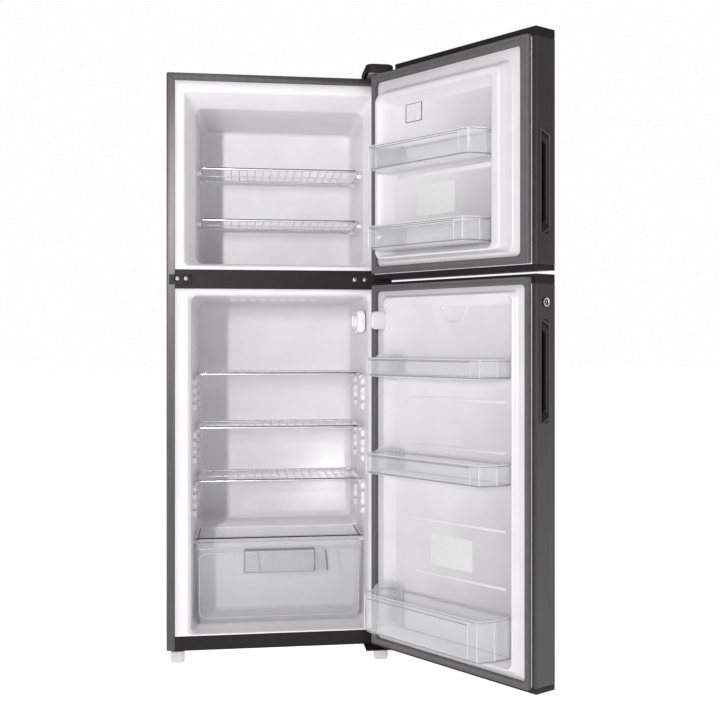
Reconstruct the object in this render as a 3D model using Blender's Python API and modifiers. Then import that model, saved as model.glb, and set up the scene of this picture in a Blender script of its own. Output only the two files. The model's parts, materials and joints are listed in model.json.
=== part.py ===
"""Top freezer refrigerator with both doors open, built from its separate pieces.

The pieces are modelled in the cabinet's own frame, in metres: x runs right from the
cabinet's left side, y runs back from its front face, and z runs up from its bottom edge.
Door pieces are modelled shut, on a pivot that then turns them open. The root empty last
moves everything, so that the origin is the middle of the model's box at floor level.
"""
from math import cos, radians, sin, tau

import bmesh
import bpy
from mathutils import Matrix, Vector

# Fits
GAP = 0.0003
RUNNING = 0.0005

# Cabinet
CABINET_WIDTH = 0.548
CABINET_HEIGHT = 1.398
CABINET_DEPTH = 0.560
SHEET = 0.001
SIDE_FLANGE = 0.020
TOP_FLANGE = 0.019
RAIL_HEIGHT = 0.035
RAIL_DEPTH = 0.020
FREEZER_SECTION = 0.476
MULLION_HEIGHT = 0.046
MULLION_DEPTH = 0.014
CHANNEL_WALL = 0.0012
LINER_WALL = 0.0015
FOAM_WALL = 0.048
RIB_RISE = 0.003
BACK_FIELD_WALL = 0.0025

# Freezer compartment
THROAT_DEPTH = 0.060
FREEZER_MARGIN = 0.040
FREEZER_INSET = 0.067
FREEZER_ROOF = 0.075
FREEZER_ROOF_FRONT = 0.041
FREEZER_SILL = 0.018
FREEZER_DEPTH = 0.445
FREEZER_CORNER = 0.020
EVAPORATOR_COVER_Y = 0.365
COVER_WALL = 0.003
EVAPORATOR_THICKNESS = 0.040
FAN_RADIUS = 0.045

# Fridge compartment
FRIDGE_MARGIN = 0.050
FRIDGE_INSET = 0.0578
FRIDGE_FLOOR = 0.040
FRIDGE_ROOF = 0.017
FRIDGE_DEPTH = 0.420
FRIDGE_CORNER = 0.015
HUMP_Y = 0.262
HUMP_SLOPE = 0.010
HUMP_HEIGHT = 0.256
DRAFT = 0.0175

# Shelves and crisper
FRAME_ROD = 0.0056
CROSS_ROD = 0.0040
SHELF_WIRE = 0.0030
WIRE_PITCH = 0.024
SHELF_SIDE_GAP = 0.004
SUPPORT_RADIUS = 0.004
SUPPORT_REACH = 0.010
FREEZER_SHELF_FRONT = 0.080
FREEZER_SHELF_DEPTH = 0.250
FREEZER_SHELF_SHARES = (0.290, 0.624)
FRIDGE_SHELF_FRONT = 0.088
FRIDGE_SHELF_DEPTH = 0.247
FRIDGE_SHELF_SHARES = (0.236, 0.457, 0.680)
GLASS_THICKNESS = 0.004
TRIM_HEIGHT = 0.009
TRIM_WIDTH = 0.008
CRISPER_WALL = 0.0022
CRISPER_TOP_GAP = 0.008
GRIP_HOOD_WIDTH = 0.176
GRIP_HOOD_HEIGHT = 0.058
GRIP_HOOD_DEPTH = 0.012
HOUSING_FRONT = 0.050
HOUSING_REAR = 0.200
HOUSING_LOW = 0.090
HOUSING_HEIGHT = 0.058
HOUSING_REACH = 0.020
KNOB_RADIUS = 0.017
KNOB_STEM_RADIUS = 0.004
SWITCH_REACH = 0.006

# Doors
DOOR_THICKNESS = 0.058
DOOR_GAP = 0.012
DOOR_SPLIT = 0.008
DOOR_OVER = 0.010
OPEN_ANGLE = 122.5
SKIN = 0.0008
SKIN_RETURN = 0.012
TOP_CAP = 0.020
BOTTOM_CAP = 0.012
DOOR_LINER_WALL = 0.0012
GASKET_OUT = 0.013
GASKET_FACE = 0.0009
BIN_WALL = 0.002
BIN_CHAMFER = (0.015, 0.039)
HANDLE_DEPTH = 0.020
HANDLE_WIDTH = 0.024
HANDLE_FROM_INNER = 0.015
HANDLE_HEIGHT = 0.218
LOCK_RADIUS = 0.0095
KEY_SLOT_HALF_HEIGHT = 0.004
KEY_SLOT_HALF_WIDTH = 0.0008

# Hinges
HINGE_IN = 0.020
HINGE_OUT = 0.042
PIN_RADIUS = 0.004
PIN_DEPTH = 0.009
HINGE_PLATE = 0.003
NOTCH_LENGTH = 0.090
NOTCH_DEPTH = 0.014
HINGE_COVER_HEIGHT = 0.024
SCREW_RADIUS = 0.005
SCREW_HEAD = 0.002

# Feet, rollers and machine compartment
FOOT_HEIGHT = 0.028
FOOT_RADIUS = 0.01725
ROLLER_RADIUS = 0.0135
ROLLER_WIDTH = 0.018
ROLLER_INSET = 0.060
AXLE_RADIUS = 0.004
COMPRESSOR_RADIUS = 0.072
COMPRESSOR_HEIGHT = 0.160

# Values that follow from the sizes above
RIGHT = CABINET_WIDTH
TOP = CABINET_HEIGHT
MULLION_TOP = CABINET_HEIGHT - FREEZER_SECTION
MULLION_LOW = MULLION_TOP - MULLION_HEIGHT
FREEZER_FLOOR = MULLION_TOP + FREEZER_SILL
FREEZER_CEILING = TOP - FREEZER_ROOF
FRIDGE_CEILING = MULLION_LOW - FRIDGE_ROOF
MACHINE_FRONT = HUMP_Y + HUMP_SLOPE + FOAM_WALL
MACHINE_ROOF = HUMP_HEIGHT - FOAM_WALL
DOOR_INNER = -DOOR_GAP
DOOR_OUTER = -DOOR_GAP - DOOR_THICKNESS
HINGE_X = RIGHT - HINGE_IN
HINGE_Y = -HINGE_OUT
SPLIT_MIDDLE = MULLION_LOW + 0.018
DOOR_MIDDLE_Y = (DOOR_INNER + DOOR_OUTER) / 2
FREEZER_DOOR_LOW = SPLIT_MIDDLE + DOOR_SPLIT / 2
FREEZER_DOOR_TOP = TOP + DOOR_OVER
FRIDGE_DOOR_LOW = DOOR_OVER
FRIDGE_DOOR_TOP = SPLIT_MIDDLE - DOOR_SPLIT / 2
ROLLER_AXIS_Z = ROLLER_RADIUS - FOOT_HEIGHT
ROLLER_Y = CABINET_DEPTH - 0.040

OBJECT_NAME = "top_freezer_refrigerator"


# ---------------------------------------------------------------- tools

def clear_scene():
    """Remove every object of the opened scene."""
    for item in list(bpy.data.objects):
        bpy.data.objects.remove(item, do_unlink=True)


def add_collection(name):
    """A new collection in the scene."""
    group = bpy.data.collections.new(name)
    bpy.context.scene.collection.children.link(group)
    return group


def add_material(name, colour, roughness, metallic=0.0, alpha=1.0):
    """A Principled material."""
    material = bpy.data.materials.new(name)
    material.use_nodes = True
    shader = material.node_tree.nodes["Principled BSDF"]
    shader.inputs["Base Color"].default_value = (*colour, 1.0)
    shader.inputs["Roughness"].default_value = roughness
    shader.inputs["Metallic"].default_value = metallic
    shader.inputs["Alpha"].default_value = alpha
    return material


clear_scene()
PARTS = add_collection(OBJECT_NAME)
TOOLS = add_collection("cutters")

DARK_STEEL = add_material("dark_brushed_steel", (0.10, 0.09, 0.09), 0.38, 0.9)
BLACK_STEEL = add_material("black_painted_steel", (0.02, 0.018, 0.018), 0.42)
GALVANISED = add_material("galvanised_steel", (0.45, 0.46, 0.47), 0.45, 0.9)
CHROME = add_material("bright_wire", (0.75, 0.76, 0.78), 0.18, 1.0)
WHITE_PLASTIC = add_material("white_liner_plastic", (0.80, 0.80, 0.82), 0.35)
BLACK_PLASTIC = add_material("black_plastic", (0.015, 0.015, 0.016), 0.4)
GASKET_RUBBER = add_material("grey_gasket_rubber", (0.12, 0.115, 0.12), 0.6)
CLEAR_PLASTIC = add_material("clear_plastic", (0.85, 0.86, 0.88), 0.08, 0.0, 0.35)
CLEAR_GLASS = add_material("clear_glass", (0.80, 0.86, 0.85), 0.03, 0.0, 0.3)
FOAM = add_material("insulating_foam", (0.85, 0.75, 0.50), 0.9)
MILKY_PLASTIC = add_material("milky_plastic", (0.75, 0.74, 0.73), 0.3, 0.0, 0.8)
COPPER = add_material("copper_tube", (0.60, 0.28, 0.15), 0.35, 1.0)
BRIGHT_ALUMINIUM = add_material("bright_aluminium", (0.70, 0.71, 0.72), 0.35, 1.0)

ROOT = bpy.data.objects.new("root", None)
PARTS.objects.link(ROOT)


def add_pivot(name, place, angle=0.0):
    """An empty on a joint's axis, turned about the vertical to its rest angle."""
    pivot = bpy.data.objects.new(name, None)
    PARTS.objects.link(pivot)
    pivot.parent = ROOT
    pivot.location = place
    pivot.rotation_euler = (0.0, 0.0, radians(angle))
    return pivot


def on_pivot(item, pivot):
    """Hang a piece, modelled in the cabinet's frame, on a pivot."""
    item.parent = pivot
    if pivot is not ROOT:
        item.data.transform(Matrix.Translation(-pivot.location))
    return item


def add_part(item, material, pivot=ROOT, smooth=False):
    """Put a finished piece into the assembly."""
    PARTS.objects.link(item)
    item.data.materials.append(material)
    if smooth:
        item.data.shade_smooth()
        item.data.set_sharp_from_angle(angle=radians(35))
    return on_pivot(item, pivot)


def apply_tool(part, tool, operation="DIFFERENCE"):
    """Cut or join a piece with a tool, which hangs on the same pivot."""
    TOOLS.objects.link(tool)
    tool.hide_render = True
    tool.display_type = "WIRE"
    on_pivot(tool, part.parent)
    modifier = part.modifiers.new(operation.lower(), "BOOLEAN")
    modifier.operation = operation
    modifier.solver = "EXACT"
    modifier.object = tool


def join_tool(part, tool):
    """Join a tool to a piece."""
    apply_tool(part, tool, "UNION")


def object_from(name, shape):
    """An object that holds a bmesh shape."""
    mesh = bpy.data.meshes.new(name)
    shape.to_mesh(mesh)
    shape.free()
    return bpy.data.objects.new(name, mesh)


def add_box_to(shape, low, high):
    """Add a box between two corners to a bmesh shape."""
    low, high = Vector(low), Vector(high)
    size = high - low
    place = Matrix.Translation((low + high) / 2) @ Matrix.Diagonal((*size, 1.0))
    bmesh.ops.create_cube(shape, size=1.0, matrix=place)


def add_rod_to(shape, start, end, radius, sides, end_radius=None):
    """Add a round rod or cone between two points to a bmesh shape."""
    start, end = Vector(start), Vector(end)
    along = end - start
    turn = along.to_track_quat("Z", "Y").to_matrix().to_4x4()
    place = Matrix.Translation((start + end) / 2) @ turn
    far = radius if end_radius is None else end_radius
    bmesh.ops.create_cone(shape, cap_ends=True, segments=sides, radius1=radius, radius2=far,
                          depth=along.length, matrix=place)


def box(name, low, high):
    """A box between two corners."""
    shape = bmesh.new()
    add_box_to(shape, low, high)
    return object_from(name, shape)


def boxes(name, corners):
    """Separate boxes in one object, to cut or join with."""
    shape = bmesh.new()
    for low, high in corners:
        add_box_to(shape, low, high)
    return object_from(name, shape)


def rod(name, start, end, radius, sides=16, end_radius=None):
    """A round rod or cone between two points."""
    shape = bmesh.new()
    add_rod_to(shape, start, end, radius, sides, end_radius)
    return object_from(name, shape)


def rods(name, ends, radius, sides=8):
    """Separate rods in one object, to join with."""
    shape = bmesh.new()
    for start, end in ends:
        add_rod_to(shape, start, end, radius, sides)
    return object_from(name, shape)


def bevel(item, width, segments=2, angle=30):
    """Round a piece's edges."""
    modifier = item.modifiers.new("round_edges", "BEVEL")
    modifier.width = width
    modifier.segments = segments
    modifier.limit_method = "ANGLE"
    modifier.angle_limit = radians(angle)


def solidify(item, thickness, offset=-1.0):
    """Give an open surface its wall."""
    modifier = item.modifiers.new("wall", "SOLIDIFY")
    modifier.thickness = thickness
    modifier.offset = offset
    modifier.use_even_offset = True


def corner_arc(centre, radius, start, segments):
    """The points of a quarter circle from a start angle."""
    points = []
    for step in range(segments + 1):
        angle = radians(start + 90.0 * step / segments)
        points.append((centre[0] + radius * cos(angle), centre[1] + radius * sin(angle)))
    return points


def rounded_outline(left, right, low, high, radius, segments=3):
    """A rounded rectangle, anticlockwise from its right side."""
    outline = corner_arc((right - radius, high - radius), radius, 0, segments)
    outline += corner_arc((left + radius, high - radius), radius, 90, segments)
    outline += corner_arc((left + radius, low + radius), radius, 180, segments)
    outline += corner_arc((right - radius, low + radius), radius, 270, segments)
    return outline


def upright_ring(section):
    """The ring of one upright section: left, right, low, high, corner radius, y."""
    outline = rounded_outline(*section[:5])
    return [Vector((x, section[5], z)) for x, z in outline]


def level_ring(outline, z):
    """The ring of an outline in plan at a height."""
    return [Vector((x, y, z)) for x, y in outline]


def loft(name, rings, cap_first=False, cap_last=True, flip=False):
    """A surface through rings that have the same number of points."""
    shape = bmesh.new()
    rows = [[shape.verts.new(point) for point in ring] for ring in rings]
    for row, following in zip(rows, rows[1:]):
        for index, corner in enumerate(row):
            after = (index + 1) % len(row)
            shape.faces.new((corner, row[after], following[after], following[index]))
    if cap_first:
        shape.faces.new(list(reversed(rows[0])))
    if cap_last:
        shape.faces.new(rows[-1])
    if flip:
        bmesh.ops.reverse_faces(shape, faces=shape.faces)
    return object_from(name, shape)


def grown(section, margin):
    """A section moved outwards and backwards by a margin."""
    left, right, low, high, radius, y = section
    return (left - margin, right + margin, low - margin, high + margin, radius + margin, y + margin)


def tube(name, points, radius, closed=False, sides_resolution=2):
    """A mesh tube along points, with welded caps."""
    curve = bpy.data.curves.new(name, "CURVE")
    curve.dimensions = "3D"
    curve.bevel_depth = radius
    curve.bevel_resolution = sides_resolution
    curve.use_fill_caps = not closed
    spline = curve.splines.new("POLY")
    spline.points.add(len(points) - 1)
    for target, point in zip(spline.points, points):
        target.co = (*point, 1.0)
    spline.use_cyclic_u = closed
    guide = bpy.data.objects.new(name + "_guide", curve)
    TOOLS.objects.link(guide)
    graph = bpy.context.evaluated_depsgraph_get()
    mesh = bpy.data.meshes.new_from_object(guide.evaluated_get(graph))
    shape = bmesh.new()
    shape.from_mesh(mesh)
    bmesh.ops.remove_doubles(shape, verts=shape.verts, dist=0.00001)
    shape.to_mesh(mesh)
    shape.free()
    bpy.data.objects.remove(guide, do_unlink=True)
    return bpy.data.objects.new(name, mesh)


def turned(name, profile, place, steps=20):
    """A body turned about the vertical at a place, from a profile read top to bottom."""
    shape = bmesh.new()
    corners = [shape.verts.new((radius, 0.0, z)) for radius, z in profile]
    for upper, lower in zip(corners, corners[1:]):
        shape.edges.new((upper, lower))
    item = object_from(name, shape)
    item.location = place
    modifier = item.modifiers.new("turn", "SCREW")
    modifier.steps = steps
    modifier.render_steps = steps
    modifier.use_merge_vertices = True
    modifier.merge_threshold = 0.00001
    return item


# ---------------------------------------------------------------- cabinet

def make_cabinet_shell():
    """The folded sheet of the two sides and the top, with its front flange."""
    shell = box("cabinet_shell", (0, 0, 0), (RIGHT, CABINET_DEPTH, TOP))
    add_part(shell, DARK_STEEL)
    bevel(shell, 0.003)
    over = 0.02
    inside = box("shell_inside", (SHEET, SHEET, -over), (RIGHT - SHEET, CABINET_DEPTH + over, TOP - SHEET))
    mouth = box("shell_mouth", (SIDE_FLANGE, -over, -over), (RIGHT - SIDE_FLANGE, over, TOP - TOP_FLANGE))
    apply_tool(shell, inside)
    apply_tool(shell, mouth)


def make_cross_channel(name, low, high, depth, material):
    """A folded channel between the side flanges, open at the back."""
    left = SIDE_FLANGE + GAP
    right = RIGHT - SIDE_FLANGE - GAP
    channel = add_part(box(name, (left, 0, low), (right, depth, high)), material)
    wall = CHANNEL_WALL
    hollow = box(name + "_hollow", (left + wall, wall, low + wall), (right - wall, depth + wall, high - wall))
    apply_tool(channel, hollow)


def freezer_sections():
    """The freezer liner's inside, from its front edge to its rear wall."""
    edge = SIDE_FLANGE + GAP
    lip = 0.004
    shift = DRAFT * 0.1
    rear = FREEZER_INSET + shift
    soft = 0.012
    low = MULLION_TOP
    return [
        (edge, RIGHT - edge, low + GAP, TOP - TOP_FLANGE - GAP, 0.002, 0.0),
        (FREEZER_MARGIN, RIGHT - FREEZER_MARGIN, low + 0.008, TOP - FREEZER_ROOF_FRONT, soft, 0.0),
        (FREEZER_MARGIN + lip, RIGHT - FREEZER_MARGIN - lip, low + 0.011,
         TOP - FREEZER_ROOF_FRONT - lip, soft, lip),
        (FREEZER_INSET, RIGHT - FREEZER_INSET, FREEZER_FLOOR, FREEZER_CEILING, FREEZER_CORNER, THROAT_DEPTH),
        (rear, RIGHT - rear, FREEZER_FLOOR + shift, FREEZER_CEILING - shift, FREEZER_CORNER,
         FREEZER_DEPTH - soft),
        (rear + soft, RIGHT - rear - soft, FREEZER_FLOOR + soft, FREEZER_CEILING - soft, soft, FREEZER_DEPTH),
    ]


def fridge_side_at(y):
    """Where the fridge compartment's left wall stands at a depth, with its draft."""
    return FRIDGE_INSET + DRAFT * (y - 0.010)


def fridge_sections():
    """The fridge liner's inside, with the step over the machine compartment."""
    edge = SIDE_FLANGE + GAP
    soft = 0.012
    step_y = HUMP_Y + HUMP_SLOPE
    rear_y = FRIDGE_DEPTH - soft
    lip_y = 0.010

    def wall(y, low, inset=0.0):
        side = fridge_side_at(y) + inset
        fall = DRAFT * (y - lip_y) + inset
        radius = FRIDGE_CORNER if inset == 0.0 else soft
        return (side, RIGHT - side, low + inset, FRIDGE_CEILING - fall, radius, y)

    return [
        (edge, RIGHT - edge, RAIL_HEIGHT + GAP, MULLION_LOW - GAP, 0.002, 0.0),
        (FRIDGE_MARGIN, RIGHT - FRIDGE_MARGIN, FRIDGE_FLOOR - 0.0018, FRIDGE_CEILING + 0.006, soft, 0.0),
        wall(lip_y, FRIDGE_FLOOR),
        wall(HUMP_Y, FRIDGE_FLOOR + 0.002),
        wall(step_y, HUMP_HEIGHT),
        wall(rear_y, HUMP_HEIGHT + 0.001),
        wall(rear_y, HUMP_HEIGHT + 0.001, soft)[:5] + (FRIDGE_DEPTH,),
    ]


def liner_cut(name, sections):
    """The room that a liner takes up in the foam."""
    margin = LINER_WALL + GAP
    rings = [grown(section, margin) for section in sections[1:]]
    front = rings[0][:5] + (-0.01,)
    return loft(name, [upright_ring(ring) for ring in [front] + rings], cap_first=True, flip=True)


def support_rods(name, shelves, side_at):
    """The stubs on both side walls under the shelves."""
    ends = []
    for front, rear, underside in shelves:
        z = underside - GAP - SUPPORT_RADIUS
        for y in (front + 0.035, rear - 0.035):
            wall = side_at(y)
            root = wall - LINER_WALL / 2
            tip = wall + SUPPORT_REACH
            ends.append(((root, y, z), (tip, y, z)))
            ends.append(((RIGHT - root, y, z), (RIGHT - tip, y, z)))
    return rods(name, ends, SUPPORT_RADIUS)


def make_liner(name, sections, shelves, side_at):
    """A formed liner with its shelf supports."""
    inside = [upright_ring(section) for section in sections]
    outside = [upright_ring(grown(section, LINER_WALL)) for section in sections[1:]]
    front_edge = [point + Vector((0, LINER_WALL, 0)) for point in inside[0]]
    rings = list(reversed(outside)) + [front_edge] + inside
    liner = loft(name, rings, cap_first=True)
    add_part(liner, WHITE_PLASTIC, smooth=True)
    join_tool(liner, support_rods(name + "_supports", shelves, side_at))


def make_foam():
    """The foam between the shell and the two liners."""
    side = SHEET + GAP
    front = LINER_WALL + GAP
    rear = CABINET_DEPTH - 2 * SHEET - RIB_RISE - GAP
    low = 2 * CHANNEL_WALL + GAP
    foam = add_part(box("cabinet_foam", (side, front, low), (RIGHT - side, rear, TOP - side)), FOAM)
    apply_tool(foam, liner_cut("freezer_room", freezer_sections()))
    apply_tool(foam, liner_cut("fridge_room", fridge_sections()))
    over = 0.05
    start = MACHINE_FRONT - CHANNEL_WALL - GAP
    roof = MACHINE_ROOF + CHANNEL_WALL + GAP
    apply_tool(foam, box("machine_room", (-over, start, -over), (RIGHT + over, CABINET_DEPTH + over, roof)))
    for name, low, high, depth in (
        ("rail_room", -over, RAIL_HEIGHT, RAIL_DEPTH),
        ("mullion_room", MULLION_LOW, MULLION_TOP, MULLION_DEPTH),
    ):
        apply_tool(foam, box(name, (-over, -over, low - GAP), (RIGHT + over, depth + GAP, high + GAP)))


def make_back_and_base():
    """The back sheet with its pressed field, the stepped base sheet and the compressor plate."""
    side = SHEET + GAP
    rear = CABINET_DEPTH - SHEET - RIB_RISE
    low = MACHINE_ROOF + CHANNEL_WALL + GAP
    back = box("back_panel", (side, rear, low), (RIGHT - side, rear + SHEET, TOP - side))
    add_part(back, GALVANISED)
    inset = 0.045
    field = box("back_field", (inset, rear + SHEET / 2, low + inset),
                (RIGHT - inset, rear + SHEET + RIB_RISE, TOP - side - inset))
    bevel(field, 0.002, 1)
    join_tool(back, field)
    behind = inset + BACK_FIELD_WALL
    apply_tool(back, box("back_field_hollow", (behind, rear - BACK_FIELD_WALL, low + behind),
                         (RIGHT - behind, rear + RIB_RISE, TOP - side - behind)))

    path = [(RAIL_DEPTH + GAP, 0), (MACHINE_FRONT, 0), (MACHINE_FRONT, MACHINE_ROOF), (rear, MACHINE_ROOF)]
    shape = bmesh.new()
    left_side = [shape.verts.new((side, y, z)) for y, z in path]
    right_side = [shape.verts.new((RIGHT - side, y, z)) for y, z in path]
    for index in range(len(path) - 1):
        shape.faces.new((left_side[index], right_side[index], right_side[index + 1], left_side[index + 1]))
    base = object_from("base_sheet", shape)
    add_part(base, GALVANISED)
    solidify(base, CHANNEL_WALL, 1.0)

    plate_front = MACHINE_FRONT + CHANNEL_WALL + GAP
    plate = box("compressor_plate", (side, plate_front, 0), (RIGHT - side, CABINET_DEPTH, 2 * CHANNEL_WALL))
    add_part(plate, BLACK_STEEL)
    for name, x in roller_places():
        join_tool(plate, roller_cheeks(name, x))
        hole = rod(name + "_holes", (x - 0.03, ROLLER_Y, ROLLER_AXIS_Z), (x + 0.03, ROLLER_Y, ROLLER_AXIS_Z),
                   AXLE_RADIUS + RUNNING)
        apply_tool(plate, hole)


def roller_places():
    """The rear rollers' names and their places across."""
    return (("rear_roller_left", ROLLER_INSET), ("rear_roller_right", RIGHT - ROLLER_INSET))


def roller_cheeks(name, x):
    """The two lugs that hold a roller's axle."""
    lug = 0.002
    near = ROLLER_WIDTH / 2 + RUNNING
    corners = []
    for low_x in (x - near - lug, x + near):
        corners.append(((low_x, ROLLER_Y - 0.010, ROLLER_AXIS_Z - 0.008),
                        (low_x + lug, ROLLER_Y + 0.010, CHANNEL_WALL)))
    return boxes(name + "_lugs", corners)


def make_feet_and_rollers():
    """The levelling feet at the front and the rollers at the rear."""
    foot_y = 0.010
    hinge_foot_y = HINGE_Y + 0.009
    places = (("front_foot_left", 0.026, foot_y, -2 * GAP),
              ("front_foot_right", HINGE_X - 0.012, hinge_foot_y, -HINGE_PLATE - 3 * GAP))
    for name, x, y, top in places:
        waist = FOOT_RADIUS * 0.93
        profile = [(0.0, top), (waist, top), (FOOT_RADIUS, top - 0.004), (FOOT_RADIUS, -0.022),
                   (waist, -0.026), (waist * 0.96, -FOOT_HEIGHT), (0.0, -FOOT_HEIGHT)]
        add_part(turned(name, profile, (x, y, 0.0)), MILKY_PLASTIC, smooth=True)
    for name, x in roller_places():
        pivot = add_pivot(name + "_axle", (x, ROLLER_Y, ROLLER_AXIS_Z))
        half = ROLLER_WIDTH / 2
        wheel = rod(name, (x - half, ROLLER_Y, ROLLER_AXIS_Z), (x + half, ROLLER_Y, ROLLER_AXIS_Z),
                    ROLLER_RADIUS, 20)
        add_part(wheel, BLACK_PLASTIC, pivot, smooth=True)
        reach = half + 0.004
        axle = rod(name + "_stub", (x - reach, ROLLER_Y, ROLLER_AXIS_Z),
                   (x + reach, ROLLER_Y, ROLLER_AXIS_Z), AXLE_RADIUS)
        join_tool(wheel, axle)


def make_machine_pieces():
    """The compressor, the condenser coil and the drain tray in the machine compartment."""
    floor = 2 * CHANNEL_WALL + GAP
    middle_y = (MACHINE_FRONT + CABINET_DEPTH) / 2
    x = RIGHT * 0.66
    radius = COMPRESSOR_RADIUS
    height = COMPRESSOR_HEIGHT
    waist = height * 0.55
    profile = [(0.0, height), (radius * 0.55, height * 0.96), (radius * 0.9, height * 0.80),
               (radius, waist + 0.006), (radius + 0.004, waist), (radius, waist - 0.006),
               (radius * 0.92, height * 0.20), (radius * 0.6, 0.014), (0.0, 0.012)]
    compressor = turned("compressor", profile, (x, middle_y, floor))
    add_part(compressor, BLACK_STEEL, smooth=True)
    saddle = box("compressor_saddle", (-0.085 + x, -0.045 + middle_y, floor),
                 (0.085 + x, 0.045 + middle_y, floor + 0.018))
    relay = box("compressor_relay", (x - radius - 0.022, middle_y - 0.025, floor + 0.060),
                (x - radius * 0.8, middle_y + 0.025, floor + 0.115))
    for tool in (saddle, relay):
        tool.data.transform(Matrix.Translation((-x, -middle_y, -floor)))
        tool.location = (x, middle_y, floor)
        join_tool(compressor, tool)

    left, right = 0.050, RIGHT * 0.42
    front, rear = MACHINE_FRONT + 0.030, CABINET_DEPTH - 0.040
    tray_low = MACHINE_ROOF - 0.050
    outer = rounded_outline(left, right, front, rear, 0.012)
    inner = rounded_outline(left + 0.006, right - 0.006, front + 0.006, rear - 0.006, 0.010)
    tray = loft("drain_tray", [level_ring(outer, tray_low + 0.035), level_ring(inner, tray_low)])
    tray.data.flip_normals()
    add_part(tray, BLACK_PLASTIC)
    solidify(tray, 0.002)

    turns = 5
    pitch = (rear - front - 0.03) / (turns - 1)
    points = []
    low, high = floor + 0.010, tray_low - 0.012
    for index in range(turns):
        y = front + 0.015 + index * pitch
        ends = (low, high) if index % 2 == 0 else (high, low)
        points.append(Vector((left + 0.02, y, ends[0])))
        points.append(Vector((left + 0.02, y, ends[1])))
        points.append(Vector((right - 0.02, y + pitch * 0.25, ends[1])))
        points.append(Vector((right - 0.02, y + pitch * 0.5, ends[0])))
        if index < turns - 1:
            points.append(Vector((left + 0.02, y + pitch * 0.75, ends[0])))
    coil = tube("condenser_coil", soften(points), 0.0035)
    add_part(coil, COPPER, smooth=True)


def soften(points):
    """Points with each corner cut short, so that a tube bends softly."""
    result = [points[0]]
    for before, corner, after in zip(points, points[1:], points[2:]):
        cut = min(0.008, (corner - before).length / 3, (after - corner).length / 3)
        result.append(corner + (before - corner).normalized() * cut)
        result.append(corner + (after - corner).normalized() * cut)
    result.append(points[-1])
    return result


# ---------------------------------------------------------------- freezer inside

def freezer_side_at(y):
    """Where the freezer compartment's left wall stands at a depth."""
    share = (y - THROAT_DEPTH) / (FREEZER_DEPTH - THROAT_DEPTH)
    return FREEZER_INSET + DRAFT * 0.1 * share


def shelf_levels(shares, low, high):
    """Shelf heights at shares of the space between two levels."""
    return [low + share * (high - low) for share in shares]


def freezer_shelf_list():
    """Front, rear and underside of each freezer shelf."""
    rear = FREEZER_SHELF_FRONT + FREEZER_SHELF_DEPTH
    levels = shelf_levels(FREEZER_SHELF_SHARES, FREEZER_FLOOR, FREEZER_CEILING)
    return [(FREEZER_SHELF_FRONT, rear, z - FRAME_ROD / 2) for z in levels]


def fridge_shelf_list():
    """Front, rear and underside of each fridge shelf, the glass one first."""
    rear = FRIDGE_SHELF_FRONT + FRIDGE_SHELF_DEPTH
    levels = shelf_levels(FRIDGE_SHELF_SHARES, HUMP_HEIGHT, FRIDGE_CEILING)
    glass = (FRIDGE_SHELF_FRONT, HUMP_Y - 0.004, HUMP_HEIGHT - TRIM_HEIGHT)
    return [glass] + [(FRIDGE_SHELF_FRONT, rear, z - FRAME_ROD / 2) for z in levels]


def make_wire_shelf(name, left, right, front, rear, underside):
    """A shelf of wires in a rod frame, over one cross rod."""
    half = FRAME_ROD / 2
    z = underside + half
    pivot = add_pivot(name + "_slide", ((left + right) / 2, front, z))
    outline = rounded_outline(left + half, right - half, front + half, rear - half, 0.010, 2)
    frame = tube(name, [Vector((x, y, z)) for x, y in outline], half, closed=True, sides_resolution=2)
    add_part(frame, CHROME, pivot, smooth=True)
    count = int((right - left - 0.02) / WIRE_PITCH)
    pitch = (right - left) / (count + 1)
    ends = []
    for index in range(count):
        x = left + pitch * (index + 1)
        ends.append(((x, front + half, z + 0.0006), (x, rear - half, z + 0.0006)))
    join_tool(frame, rods(name + "_wires", ends, SHELF_WIRE / 2, 6))
    middle = (front + rear) / 2
    low = z - SHELF_WIRE / 2
    cross = rod(name + "_cross", (left + half, middle, low), (right - half, middle, low), CROSS_ROD / 2, 6)
    join_tool(frame, cross)


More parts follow.
